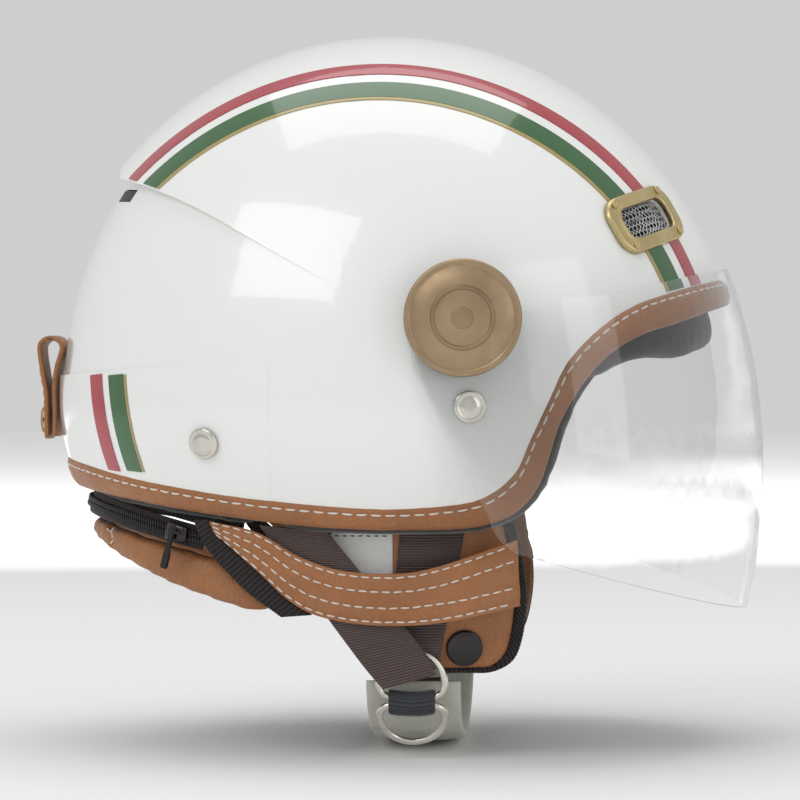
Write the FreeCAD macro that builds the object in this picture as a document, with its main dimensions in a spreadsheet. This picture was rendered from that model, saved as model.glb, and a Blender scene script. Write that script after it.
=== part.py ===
import FreeCAD, Part
import math
import os
import Sketcher

# Open face motorcycle helmet, in millimetres.
# +X is the face side, +Y the wearer's left and +Z the crown. The origin is the middle of the head.

V = FreeCAD.Vector
Rotation = FreeCAD.Rotation
Placement = FreeCAD.Placement

DIMENSIONS = (
    # shell, as half lengths of an egg about the origin
    ("front_reach", 139.6), ("rear_reach", 130.4), ("crown_rear_reach", 140.4), ("band_rear_reach", 132.0),
    ("half_width", 115.0), ("crown_height", 144.8), ("lower_depth", 95.0), ("cavity_depth", 143.0),
    ("prism_length", 400.0),
    # layers, measured inwards from the shell's outside
    ("shell_wall", 4.0), ("foam_outer", 4.4), ("foam_inner", 26.0), ("liner_outer", 26.4), ("liner_inner", 33.0),
    ("pad_outer", 6.8), ("trim_proud", 1.6), ("trim_inner", 6.4), ("layer_gap", 0.25),
    ("paint_inner", 0.12), ("paint_outer", 0.32), ("grille_inner", 3.4), ("grille_outer", 0.8),
    # skirt that carries the soft lower parts
    ("skirt_front", 133.0), ("skirt_rear", 150.0), ("skirt_half_width", 95.0), ("skirt_depth", 260.0),
    # visor and its pivots
    ("pivot_x", 33.4), ("pivot_z", 31.7), ("visor_wall", 2.0), ("visor_side", 117.6),
    ("base_radius", 14.0), ("boss_radius", 5.0), ("visor_hole_radius", 5.06), ("base_face", 114.6),
    ("boss_face", 118.4), ("base_root", 98.0), ("cover_radius", 21.8), ("cover_back", 118.0),
    ("cover_face", 122.6), ("cover_pocket_radius", 9.0), ("cover_pocket_face", 121.4), ("cover_edge", 1.2),
    ("emblem_outer", 12.0), ("emblem_inner", 10.4), ("emblem_dot", 4.0), ("emblem_height", 0.5),
    ("washer_radius", 7.5), ("washer_height", 0.8), ("screw_head_radius", 5.5), ("screw_head_height", 1.5),
    ("screw_radius", 2.4), ("screw_bore_radius", 2.45), ("screw_length", 9.6),
    # strap rivets, snaps and vent screws
    ("rivet_radius", 6.0), ("rivet_height", 1.5), ("rivet_crown", 1.0), ("rivet_shank", 2.4),
    ("rivet_bore", 2.6), ("rivet_depth", 4.0), ("rivet_seat", 0.9),
    ("snap_radius", 7.0), ("snap_height", 2.2), ("snap_crown", 1.2),
    ("vent_screw_radius", 1.5), ("vent_screw_height", 0.8), ("bezel_inner", 0.5), ("bezel_outer", 2.8),
    # D rings and the webbing loop that holds them
    ("ring_wire", 1.4), ("ring_half_width", 12.4), ("ring_corner", 4.4), ("ring_drop", 5.0),
    ("loop_half_width", 8.8), ("loop_wall", 1.3), ("loop_bore", 1.8), ("loop_pitch", 3.4),
    # zip round the neck roll, an arc about a tilted axis
    ("zip_radius", 89.5), ("zip_tape_half", 4.4), ("zip_tape_wall", 0.9), ("tooth_offset", 0.5),
    ("tooth_width", 1.7), ("tooth_height", 1.3), ("tooth_gap", 0.3), ("zip_angle", 134.0), ("roll_angle", 184.0),
    ("roll_wall", 13.0), ("roll_top", 4.8), ("roll_bottom", 60.0), ("gusset_wall", 2.4), ("gusset_top", 26.0),
    ("slider_length", 9.0), ("slider_half", 3.6), ("slider_gap", 0.35), ("slider_height", 1.6),
    ("pull_length", 16.0), ("pull_width", 3.4), ("pull_wall", 1.2),
    # goggle loop at the back
    ("strap_width", 20.0), ("strap_wall", 2.4), ("loop_stud_radius", 5.2),
)

ORIGIN = V(0, 0, 0)
X_AXIS = V(1, 0, 0)
Y_AXIS = V(0, 1, 0)
Z_AXIS = V(0, 0, 1)
SIDE_VIEW = Rotation(X_AXIS, 90)
FRONT_VIEW = Rotation(V(1, 1, 1), 120)

# Side view outlines, as (x, z).
TRIM_TOP = ((-150, -18), (-121, -23.5), (-89, -30), (-45, -36), (0, -39.3), (28, -38), (42, -34.3), (52, -26),
            (57.5, -14), (64.3, 0.5), (72, 16), (84, 28.5), (97, 37), (112, 42.3), (135, 48.5), (155, 52))
TRIM_LOW = ((-150, -30), (-121, -34), (-97, -37.5), (-57, -43), (-16, -47), (28, -47.4), (44, -45), (54, -40),
            (61, -31), (65, -20), (69, -7), (77, 6.5), (87, 18), (100, 26), (115, 31), (135, 38), (155, 43))
CROWN_LIP = ((-104.5, 87.5), (-85.7, 81), (-68, 73.3), (-47.4, 61.9), (-27.8, 51), (-12, 42.4))
BAND_LINE = ((-150, 9), (-125, 10.3), (-86, 13.6), (-39, 17.5))

doc = FreeCAD.newDocument("OpenFaceHelmet")
sheet = doc.addObject("Spreadsheet::Sheet", "dim")
size = dict(DIMENSIONS)
for row, (alias, value) in enumerate(DIMENSIONS, 1):
    sheet.set(f"A{row}", alias)
    sheet.set(f"B{row}", str(value))
    sheet.setAlias(f"B{row}", alias)
doc.recompute()

nodes = {}


# ---------------------------------------------------------------- helpers

def amount(text):
    """Value of a sum such as 'half_width - shell_wall'."""
    total = 0.0
    sign = 1
    for word in text.split():
        if word in "+-":
            sign = 1 if word == "+" else -1
        else:
            total += sign * (size[word] if word in size else float(word))
    return total


def bind(item, target, text):
    """Bind a property or constraint to a sum of cells of the sheet."""
    words = ["dim." + word if word in size else word for word in text.split()]
    item.setExpression(target, " ".join(words))


def keep(label, item):
    """Name an object as a sub-part to be written out."""
    item.Label = label
    nodes[label] = item
    return item


def combine(kind, name, shapes):
    item = doc.addObject(kind, name)
    if kind == "Part::Compound":
        item.Links = shapes
    else:
        item.Shapes = shapes
    return item


def fuse(name, *shapes):
    return combine("Part::MultiFuse", name, list(shapes))


def common(name, *shapes):
    return combine("Part::MultiCommon", name, list(shapes))


def cut(name, base, *tools):
    item = base
    for count, tool in enumerate(tools):
        result = doc.addObject("Part::Cut", f"{name}_{count}" if count < len(tools) - 1 else name)
        result.Base = item
        result.Tool = tool
        item = result
    return item


def mirror(name, source):
    item = doc.addObject("Part::Mirroring", name)
    item.Source = source
    item.Normal = Y_AXIS
    return item


def both_sides(label, right):
    """One node that holds a right hand piece and its left hand mirror image."""
    return keep(label, combine("Part::Compound", label + "_pair", [right, mirror(label + "_mirror", right)]))


def each_side(label, right):
    """Two nodes, the right hand piece and its mirror image."""
    keep(label + "_right", right)
    keep(label + "_left", mirror(label + "_mirror", right))


def quarter(name, front, upper, reach, width, height, lift):
    """A quarter of an ellipsoid: the front or rear half, above or below the origin."""
    item = doc.addObject("Part::Ellipsoid", name)
    bind(item, "Radius1", f"{height} + {lift}")
    bind(item, "Radius2", f"{width} + {lift}")
    bind(item, "Radius3", f"{reach} + {lift}")
    item.Angle1 = 0 if upper else -90
    item.Angle2 = 90 if upper else 0
    item.Angle3 = 180
    item.Placement = Placement(ORIGIN, Rotation(Z_AXIS, -90 if front else 90))
    return item


def egg(name, lift, lower_rear="rear_reach", depth="lower_depth"):
    """The plain shell shape, moved outwards by lift."""
    rows = ((True, True, "front_reach", "crown_height"), (True, False, "front_reach", depth),
            (False, True, "rear_reach", "crown_height"), (False, False, lower_rear, depth))
    parts = [quarter(f"{name}_q{number}", front, upper, reach, "half_width", height, lift)
             for number, (front, upper, reach, height) in enumerate(rows)]
    return fuse(name, *parts)


def skirt(name, lift):
    """The lower skirt shape, moved outwards by lift."""
    parts = [quarter(f"{name}_q{front:d}", front, False, reach, "skirt_half_width", "skirt_depth", lift)
             for front, reach in ((True, "skirt_front"), (False, "skirt_rear"))]
    return fuse(name, *parts)


def line_run(*points):
    return ("line", points)


def curve_run(*points):
    return ("curve", points)


def outline(name, runs, rotation=SIDE_VIEW, base=ORIGIN):
    """A closed sketch from straight and curved runs that share their end points."""
    sketch = doc.addObject("Sketcher::SketchObject", name)
    for kind, points in runs:
        corners = [V(point[0], point[1], 0) for point in points]
        if kind == "curve":
            curve = Part.BSplineCurve()
            curve.interpolate(corners)
            sketch.addGeometry(curve, False)
        else:
            for start, end in zip(corners, corners[1:]):
                sketch.addGeometry(Part.LineSegment(start, end), False)
    sketch.Placement = Placement(base, rotation)
    return sketch


def extrude(name, sketch, length="prism_length", symmetric=True):
    item = doc.addObject("Part::Extrusion", name)
    item.Base = sketch
    item.DirMode = "Normal"
    bind(item, "LengthFwd", length)
    item.Symmetric = symmetric
    item.Solid = True
    return item


def prism(name, *runs, symmetric=True, rotation=SIDE_VIEW):
    """A side view outline pushed across the helmet, or to the right hand side only."""
    return extrude(name, outline(name + "_outline", runs, rotation), symmetric=symmetric)


def moved(points, x, z):
    return tuple((point[0] + x, point[1] + z) for point in points)


def above(name, points):
    """Everything above and behind a rim line in side view."""
    top = 200
    return prism(name, curve_run(*points), line_run(points[-1], (points[-1][0], top), (points[0][0], top), points[0]))


def cylinder(name, radius, start, end, x=0.0, z=0.0):
    """A cylinder along Y on the right hand side, between two distances from the middle."""
    item = doc.addObject("Part::Cylinder", name)
    bind(item, "Radius", radius)
    bind(item, "Height", f"{end} - {start}" if start != "0" else end)
    bind(item, ".Placement.Base.x", "pivot_x" if x == "pivot" else str(x))
    bind(item, ".Placement.Base.z", "pivot_z" if z == "pivot" else str(z))
    item.setExpression(".Placement.Base.y", f"-dim.{start}" if start in size else "0")
    item.Placement.Rotation = Rotation(X_AXIS, 90)
    return item


def plane_of(body, role):
    return next(item for item in body.Origin.OriginFeatures if item.Role == role)


def body_sketch(body, name, role):
    sketch = body.newObject("Sketcher::SketchObject", name)
    sketch.AttachmentSupport = [(plane_of(body, role), "")]
    sketch.MapMode = "FlatFace"
    return sketch


def constrained_loop(sketch, points):
    """Closed straight sided loop with every corner bound to the sheet."""
    corners = [V(amount(x), amount(y), 0) for x, y in points]
    first = sketch.GeometryCount
    count = len(points)
    for number in range(count):
        sketch.addGeometry(Part.LineSegment(corners[number], corners[(number + 1) % count]), False)
    for number in range(count):
        following = first + (number + 1) % count
        sketch.addConstraint(Sketcher.Constraint("Coincident", first + number, 2, following, 1))
    for number, (x, y) in enumerate(points):
        for kind, text, axis in (("DistanceX", x, -2), ("DistanceY", y, -1)):
            if abs(amount(text)) < 1e-9:
                sketch.addConstraint(Sketcher.Constraint("PointOnObject", first + number, 1, axis))
            else:
                index = sketch.addConstraint(
                    Sketcher.Constraint(kind, -1, 1, first + number, 1, amount(text)))
                bind(sketch, f"Constraints[{index}]", text)


def lathe(name, points, placement=None, angle=360.0, angle_cell=None, midplane=False):
    """A turned PartDesign body. Points are (radius, height) pairs."""
    body = doc.addObject("PartDesign::Body", name)
    sketch = body_sketch(body, name + "_section", "XZ_Plane")
    constrained_loop(sketch, points)
    turn = body.newObject("PartDesign::Revolution", name + "_turn")
    turn.Profile = sketch
    turn.ReferenceAxis = (sketch, ["V_Axis"])
    if angle_cell:
        turn.setExpression("Angle", "dim." + angle_cell)
    else:
        turn.Angle = angle
    turn.Midplane = midplane
    body.Tip = turn
    if placement:
        body.Placement = placement
    return body


def plate(name, points, length, role="XY_Plane", placement=None, midplane=False):
    """A padded PartDesign body with a straight sided outline."""
    body = doc.addObject("PartDesign::Body", name)
    sketch = body_sketch(body, name + "_outline", role)
    constrained_loop(sketch, points)
    pad = body.newObject("PartDesign::Pad", name + "_pad")
    pad.Profile = sketch
    bind(pad, "Length", length)
    pad.Midplane = midplane
    body.Tip = pad
    if placement:
        body.Placement = placement
    return body


def on_surface(x, z, reach, width, height, lift=0.0):
    """Placement on the right hand side of an ellipsoid, with +Z along its outward normal."""
    y = -width * math.sqrt(1 - (x / reach) ** 2 - (z / height) ** 2)
    normal = V(x / reach ** 2, y / width ** 2, z / height ** 2)
    normal.normalize()
    return Placement(V(x, y, z) + normal * lift, Rotation(Z_AXIS, normal))


def on_shell(x, z, lift=0.0):
    reach = size["front_reach"] if x > 0 else size["rear_reach"]
    height = size["crown_height"] if z > 0 else size["lower_depth"]
    return on_surface(x, z, reach, size["half_width"], height, lift)


def on_skirt(x, z, lift=0.0):
    reach = size["skirt_front"] if x > 0 else size["skirt_rear"]
    return on_surface(x, z, reach, size["skirt_half_width"], size["skirt_depth"], lift)


# ---------------------------------------------------------------- shell

base_egg = egg("base_egg", "0")
raised_crown = common(
    "raised_crown",
    quarter("crown_quarter", False, True, "crown_rear_reach", "half_width", "crown_height", "0"),
    prism("crown_region", curve_run(*CROWN_LIP),
          line_run(CROWN_LIP[-1], (CROWN_LIP[-1][0], 160), (-105.8, 160), (-105.8, 95), CROWN_LIP[0])))
raised_band = common(
    "raised_band",
    fuse("band_half", quarter("band_upper", False, True, "band_rear_reach", "half_width", "crown_height", "0"),
         quarter("band_lower", False, False, "band_rear_reach", "half_width", "lower_depth", "0")),
    prism("band_region", curve_run(*BAND_LINE),
          line_run(BAND_LINE[-1], (BAND_LINE[-1][0], -100), (-150, -100), BAND_LINE[0])))
stepped_egg = fuse("stepped_egg", base_egg, raised_crown, raised_band)

shell_rim = moved(TRIM_LOW, -1.6, 1.8)
shell_hollow = egg("shell_hollow", "0 - shell_wall")
shell_blank = common("shell_blank", cut("shell_layer", stepped_egg, shell_hollow), above("shell_region", shell_rim))

# Front vent frames, on the brow at each side.
VENT_CENTRE = (101.0, 70.0)
VENT_TURN = 14.0
vent_place = on_shell(*VENT_CENTRE)
vent_normal = vent_place.Rotation.multVec(Z_AXIS)
vent_across = vent_normal.cross(Z_AXIS)
vent_across.normalize()
vent_up = vent_normal.cross(vent_across)
vent_frame = Rotation(vent_across, vent_up, vent_normal, "ZXY")


def rounded_slot(name, half_length, half_height, radius, lift, length):
    """A rounded rectangle on the vent's plane, pushed along the vent's normal."""
    sketch = doc.addObject("Sketcher::SketchObject", name + "_outline")
    straight_x = half_length - radius
    straight_y = half_height - radius
    corners = ((straight_x, straight_y, 0), (-straight_x, straight_y, 90),
               (-straight_x, -straight_y, 180), (straight_x, -straight_y, 270))
    for x, y, start in corners:
        arc = Part.ArcOfCircle(Part.Circle(V(x, y, 0), Z_AXIS, radius),
                               math.radians(start), math.radians(start + 90))
        sketch.addGeometry(arc, False)
    sides = (((straight_x, half_height), (-straight_x, half_height)),
             ((-half_length, straight_y), (-half_length, -straight_y)),
             ((-straight_x, -half_height), (straight_x, -half_height)),
             ((half_length, -straight_y), (half_length, straight_y)))
    for start, end in sides:
        sketch.addGeometry(Part.LineSegment(V(*start, 0), V(*end, 0)), False)
    turned = vent_frame.multiply(Rotation(Z_AXIS, VENT_TURN))
    sketch.Placement = Placement(vent_place.Base + vent_normal * lift, turned)
    item = doc.addObject("Part::Extrusion", name)
    item.Base = sketch
    item.DirMode = "Normal"
    item.LengthFwd = length
    item.Solid = True
    return item


vent_hole = rounded_slot("vent_hole", 15.4, 6.4, 4.4, -30, 60)
grille_slot = prism("grille_slot", line_run((-125, 80.5), (-84, 76), (-84, 80.5), (-125, 86.5), (-125, 80.5)))
grille_width = doc.addObject("Part::Box", "grille_width")
grille_width.Length = 100
grille_width.Width = 84
grille_width.Height = 60
grille_width.Placement = Placement(V(-150, -42, 50), Rotation())
grille_window = common("grille_window", grille_slot, grille_width)

RIVETS = ((35.4, -1.1), (-64.0, -15.0))
rivet_bores = []
for number, (x, z) in enumerate(RIVETS):
    bore = doc.addObject("Part::Cylinder", f"rivet_bore_{number}")
    bind(bore, "Radius", "rivet_bore")
    bore.Height = 30
    place = on_shell(x, z, -20)
    bore.Placement = place
    rivet_bores.append(bore)

right_openings = fuse("right_openings", vent_hole, *rivet_bores)
left_openings = mirror("left_openings", right_openings)
keep("outer_shell", cut("outer_shell_cut", shell_blank, right_openings, left_openings, grille_window))

grille_layer = cut("grille_layer", egg("grille_out", "0 - grille_outer"), egg("grille_in", "0 - grille_inner"))
grille_fit = prism("grille_fit", line_run((-125, 80.9), (-84.3, 76.4), (-84.3, 80.1), (-125, 86.1), (-125, 80.9)))
grille_box = doc.addObject("Part::Box", "grille_box")
grille_box.Length = 100
grille_box.Width = 83.2
grille_box.Height = 60
grille_box.Placement = Placement(V(-150, -41.6, 50), Rotation())
keep("rear_vent_grille", common("rear_grille", grille_layer, grille_fit, grille_box))

# ---------------------------------------------------------------- linings

foam_rim = moved(TRIM_TOP, -0.4, 0.6)
foam = common("foam", cut("foam_layer", egg("foam_out", "0 - foam_outer"), egg("foam_in", "0 - foam_inner", depth="cavity_depth")),
              above("foam_region", foam_rim))
foam_tools = fuse("foam_tools", *[doc.copyObject(bore) for bore in rivet_bores])
keep("eps_liner", cut("foam_cut", foam, foam_tools, mirror("foam_tools_left", foam_tools)))

liner_hollow = egg("liner_hollow", "0 - liner_inner", depth="cavity_depth")
liner_rim = moved(TRIM_LOW, -0.6, 2.8)
keep("comfort_liner", common("liner", cut("liner_layer", egg("liner_out", "0 - liner_outer", depth="cavity_depth"), liner_hollow),
                             above("liner_region", liner_rim)))

pad_layer = cut("pad_layer", egg("pad_out", "0 - pad_outer"), egg("pad_in", "0.4 - liner_outer", depth="cavity_depth"))
pad_top = moved(TRIM_TOP, 0.0, 0.1)
pad_low = moved(TRIM_LOW, 0.0, 2.8)


def band(name, upper, lower):
    """The strip between two side view curves."""
    return prism(name, curve_run(*lower), line_run(lower[-1], upper[-1]),
                 curve_run(*reversed(upper)), line_run(upper[0], lower[0]))


pad_ring = common("pad_ring", pad_layer, band("pad_band", pad_top, pad_low))
PAD_PARTS = (("nape_pad", -160, -42), ("cheek_pad", -41.6, 74), ("forehead_pad", 74.4, 170))
for label, start, end in PAD_PARTS:
    part = common(label + "_part", pad_ring,
                  prism(label + "_box", line_run((start, -80), (end, -80), (end, 90), (start, 90), (start, -80)),
                        symmetric=label != "cheek_pad"))
    if label == "cheek_pad":
        each_side(label, part)
    else:
        keep(label, part)

# ---------------------------------------------------------------- edge trim

trim_solid = cut("trim_solid", egg("trim_out", "trim_proud", "band_rear_reach"),
                 egg("trim_in", "0 - trim_inner"))
trim_band = band("trim_band", TRIM_TOP, TRIM_LOW)
trim_clear = common("trim_clear", cut("trim_clear_layer", egg("clear_out", "layer_gap", "band_rear_reach"),
                                      egg("clear_in", "0 - shell_wall - layer_gap")),
                    above("clear_region", moved(shell_rim, 0.4, -0.4)))
keep("edge_trim", cut("trim", common("trim_blank", trim_solid, trim_band), trim_clear))

# ---------------------------------------------------------------- painted stripes


def crown_layer(name, lift):
    return fuse(name, quarter(name + "_front", True, True, "front_reach", "half_width", "crown_height", lift),
                quarter(name + "_rear", False, True, "crown_rear_reach", "half_width", "crown_height", lift))


crown_paint = cut("crown_paint", crown_layer("crown_paint_out", "paint_outer"),
                  crown_layer("crown_paint_in", "paint_inner"))
stripe_field = prism(
    "stripe_field",
    curve_run(*moved(CROWN_LIP, 0.6, 0.6)),
    line_run((CROWN_LIP[-1][0] + 0.6, CROWN_LIP[-1][1] + 0.6), (60, 20), (85, 29.5)),
    curve_run(*((85, 29.5), (97, 37.6), (112, 42.9), (135, 49.1))),
    line_run((135, 49.1), (150, 54), (150, 160), (-105, 160), (-105, 95),
             (CROWN_LIP[0][0] + 0.6, CROWN_LIP[0][1] + 0.6)))
STRIPE_PATH = ((-112, 44), (-75, 50), (-35, 53), (20, 54), (60, 53), (95, 50), (125, 46))
stripe_gap = rounded_slot("stripe_gap", 20.9, 11.2, 8.0, -10, 30)
stripe_gaps = fuse("stripe_gaps", stripe_gap, mirror("stripe_gap_left", stripe_gap))
CROWN_STRIPES = (("stripe_red", -3.4, 3.0), ("stripe_green", 7.6, 14.6), ("stripe_gold", 14.8, 15.9))
for label, inner, outer in CROWN_STRIPES:
    near = moved(STRIPE_PATH, 0, inner)
    far = moved(STRIPE_PATH, 0, outer)
    runs = (curve_run(*near), line_run(near[-1], far[-1]), curve_run(*reversed(far)), line_run(far[0], near[0]))
    strip = extrude(label + "_prism", outline(label + "_plan", runs, Rotation()), symmetric=False)
    mirrored = mirror(label + "_prism_left", strip)
    whole = common(label + "_paint", crown_paint, fuse(label + "_prisms", strip, mirrored), stripe_field)
    keep(label, cut(label + "_cut", whole, stripe_gaps))


def band_layer(name, lift):
    return fuse(name, quarter(name + "_upper", False, True, "band_rear_reach", "half_width", "crown_height", lift),
                quarter(name + "_lower", False, False, "band_rear_reach", "half_width", "lower_depth", lift))


band_paint = cut("band_paint", band_layer("band_paint_out", "paint_outer"),
                 band_layer("band_paint_in", "paint_inner"))
BAND_STRIPES = (("band_stripe_red", -112.6, 5.4), ("band_stripe_green", -104.2, 6.6), ("band_stripe_gold", -97.4, 0.9))
for label, start, width in BAND_STRIPES:
    end = start + 7.4
    runs = (curve_run((start, 10.2), (start + 2.4, -8), (end, -26.2)), line_run((end, -26.2), (end + width, -26.7)),
            curve_run((end + width, -26.7), (start + width + 2.4, -8), (start + width, 10.8)),
            line_run((start + width, 10.8), (start, 10.2)))
    keep(label, common(label + "_paint", band_paint, prism(label + "_prism", *runs)))

# ---------------------------------------------------------------- front vents

bezel_layer = cut("bezel_layer", egg("bezel_out", "bezel_outer"), egg("bezel_in", "bezel_inner"))
bezel_ring = cut("bezel_ring", rounded_slot("bezel_rim", 21.5, 11.8, 8.6, -8, 20),
                 rounded_slot("bezel_window", 15.4, 6.4, 4.4, -9, 22))
each_side("front_vent_bezel", common("bezel", bezel_layer, bezel_ring))
mesh_layer = cut("mesh_layer", egg("mesh_out", "0 - 0.8"), egg("mesh_in", "0 - 1.6"))
each_side("front_vent_mesh", common("mesh", mesh_layer, rounded_slot("mesh_fit", 15.0, 6.0, 4.0, -12, 24)))

turned_frame = vent_frame.multiply(Rotation(Z_AXIS, VENT_TURN))
vent_screws = []
for number, (across, up) in enumerate(((15.5, 9.0), (-15.5, 9.0), (-15.5, -9.0), (15.5, -9.0))):
    flat = vent_place.Base + turned_frame.multVec(V(across, up, 0))
    scale = math.sqrt((flat.x / size["front_reach"]) ** 2 + (flat.y / size["half_width"]) ** 2
                      + (flat.z / size["crown_height"]) ** 2)
    x, z = flat.x / scale, flat.z / scale
    vent_screws.append(lathe(
        f"vent_screw_{number}",
        (("0", "0"), ("vent_screw_radius", "0"), ("vent_screw_radius", "vent_screw_height - 0.3"),
         ("vent_screw_radius - 0.5", "vent_screw_height"), ("0", "vent_screw_height")),
        on_shell(x, z, size["bezel_outer"] + 0.3)))
both_sides("vent_screws", combine("Part::Compound", "vent_screw_set", vent_screws))

# ---------------------------------------------------------------- strap rivets

rivets = []
for number, (x, z) in enumerate(RIVETS):
    rivets.append(lathe(
        f"rivet_{number}",
        (("0", "0 - rivet_depth"), ("rivet_shank", "0 - rivet_depth"), ("rivet_shank", "rivet_seat"),
         ("rivet_radius", "rivet_seat"), ("rivet_radius", "rivet_seat + 0.8"),
         ("rivet_radius - 1.0", "rivet_seat + rivet_height"), ("0", "rivet_seat + rivet_height")),
        on_shell(x, z)))
both_sides("strap_rivets", combine("Part::Compound", "rivet_set", rivets))

# ---------------------------------------------------------------- visor

VISOR_LEVELS = ((58, 117.6), (32, 117.6), (2, 117.6), (-28, 117.4), (-58, 116.4), (-90, 114.0))
VISOR_START = 8.0
VISOR_BEND = 40.0
VISOR_MIDDLE = 33.0
VISOR_REACH = 115.8
VISOR_WAIST = -27.0
VISOR_SWEEP = 165.6


def visor_block(name, inset):
    """Solid bubble through level sections: flat cheeks, then a half ellipse to the front."""
    sections = []
    for number, (level, side) in enumerate(VISOR_LEVELS):
        reach = VISOR_REACH * math.sqrt(1 - ((level - VISOR_WAIST) / VISOR_SWEEP) ** 2)
        front = VISOR_MIDDLE + reach - VISOR_BEND - inset
        half = side - inset
        sketch = doc.addObject("Sketcher::SketchObject", f"{name}_level_{number}")
        if front > half:
            arc = Part.ArcOfEllipse(Part.Ellipse(V(front, 0, 0) + V(VISOR_BEND, 0, 0), V(VISOR_BEND, half, 0),
                                                 V(VISOR_BEND, 0, 0)), -math.pi / 2, math.pi / 2)
        else:
            arc = Part.ArcOfEllipse(Part.Ellipse(V(VISOR_BEND, half, 0), V(VISOR_BEND - front, 0, 0),
                                                 V(VISOR_BEND, 0, 0)), -math.pi, 0)
        ends = (arc.StartPoint, arc.EndPoint)
        sketch.addGeometry(arc, False)
        sketch.addGeometry(Part.LineSegment(ends[1], V(VISOR_START, ends[1].y, 0)), False)
        sketch.addGeometry(Part.LineSegment(V(VISOR_START, ends[1].y, 0), V(VISOR_START, ends[0].y, 0)), False)
        sketch.addGeometry(Part.LineSegment(V(VISOR_START, ends[0].y, 0), ends[0]), False)
        sketch.Placement = Placement(V(0, 0, level), Rotation())
        sections.append(sketch)
    item = doc.addObject("Part::Loft", name)
    item.Sections = sections
    item.Solid = True
    return item


visor_edge = prism(
    "visor_edge",
    line_run((13, 30), (15, 14), (43, -42)),
    curve_run((43, -42), (46.5, -49.5), (54, -55.5)),
    line_run((54, -55.5), (146, -82.5), (190, -84), (190, 56), (138, 52.5)),
    curve_run((138, 52.5), (116, 47.5), (88, 41), (66, 39.5), (53, 42)),
    curve_run((53, 42), (45, 49), (33.4, 52.6), (22, 49.6), (14, 40), (13, 30)))
visor_layer = cut("visor_layer", visor_block("visor_outer", 0.0), visor_block("visor_inner", size["visor_wall"]))
visor_hole = cylinder("visor_hole", "visor_hole_radius", "base_root", "boss_face + 4", "pivot", "pivot")
keep("visor_shield", cut("visor_cut", common("visor_blank", visor_layer, visor_edge), visor_hole,
                         mirror("visor_hole_left", visor_hole)))

PIVOT = Placement(V(size["pivot_x"], 0, size["pivot_z"]), SIDE_VIEW)
pivot_blank = lathe(
    "pivot_blank",
    (("screw_bore_radius", "base_root"), ("base_radius", "base_root"), ("base_radius", "base_face"),
     ("boss_radius", "base_face"), ("boss_radius", "boss_face"), ("screw_bore_radius", "boss_face")), PIVOT)
each_side("pivot_base", cut("pivot_base_cut", pivot_blank, egg("base_seat", "0.3")))
cover = lathe(
    "cover",
    (("0", "cover_pocket_face"), ("cover_pocket_radius", "cover_pocket_face"),
     ("cover_pocket_radius", "cover_back"), ("cover_radius", "cover_back"),
     ("cover_radius", "cover_face - cover_edge"), ("cover_radius - cover_edge", "cover_face"),
     ("0", "cover_face")), PIVOT)
each_side("pivot_cover", cover)
emblem_ring = lathe(
    "emblem_ring",
    (("emblem_inner", "cover_face + 0.1"), ("emblem_outer", "cover_face + 0.1"),
     ("emblem_outer", "cover_face + 0.1 + emblem_height"), ("emblem_inner", "cover_face + 0.1 + emblem_height")),
    PIVOT)
emblem_dot = lathe(
    "emblem_middle",
    (("0", "cover_face + 0.1"), ("emblem_dot", "cover_face + 0.1"),
     ("emblem_dot", "cover_face + 0.1 + emblem_height"), ("0", "cover_face + 0.1 + emblem_height")), PIVOT)
both_sides("pivot_emblems", combine("Part::Compound", "emblem_set", [emblem_ring, emblem_dot]))
washer = lathe(
    "washer",
    (("screw_bore_radius", "boss_face + 0.1"), ("washer_radius", "boss_face + 0.1"),
     ("washer_radius", "boss_face + 0.1 + washer_height"),
     ("screw_bore_radius", "boss_face + 0.1 + washer_height")), PIVOT)
both_sides("pivot_washers", washer)
SCREW_SEAT = "boss_face + 0.2 + washer_height"
screw = lathe(
    "screw",
    (("0", SCREW_SEAT + " - screw_length"), ("screw_radius", SCREW_SEAT + " - screw_length"),
     ("screw_radius", SCREW_SEAT), ("screw_head_radius", SCREW_SEAT),
     ("screw_head_radius", SCREW_SEAT + " + screw_head_height - 0.3"),
     ("screw_head_radius - 0.4", SCREW_SEAT + " + screw_head_height"),
     ("0", SCREW_SEAT + " + screw_head_height")), PIVOT)
both_sides("pivot_screws", screw)

# ---------------------------------------------------------------- soft lower parts on the skirt

skirts = {}


def skirt_layer(inner, outer):
    """The skirt's layer between two distances outwards from the skirt."""
    for lift in (inner, outer):
        if lift not in skirts:
            name = "skirt_" + str(lift).replace("-", "in_").replace(".", "_")
            skirts[lift] = skirt(name, f"{lift}" if lift >= 0 else f"0 - {-lift}")
    return cut(f"skirt_layer_{len(doc.Objects)}", skirts[outer], skirts[inner])


FLAP_IN, FLAP_OUT = -9.4, -5.4


def flap_edge(across, up):
    """Front edge and lower corner of the ear flap, moved in from the outside."""
    return ((54 - across, -46), (57 - across, -60), (58.5 - across, -76), (56.5 - across, -91),
            (52.5 - 0.7 * across, -99.5 + 0.7 * up), (44, -103.5 + up))


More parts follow.
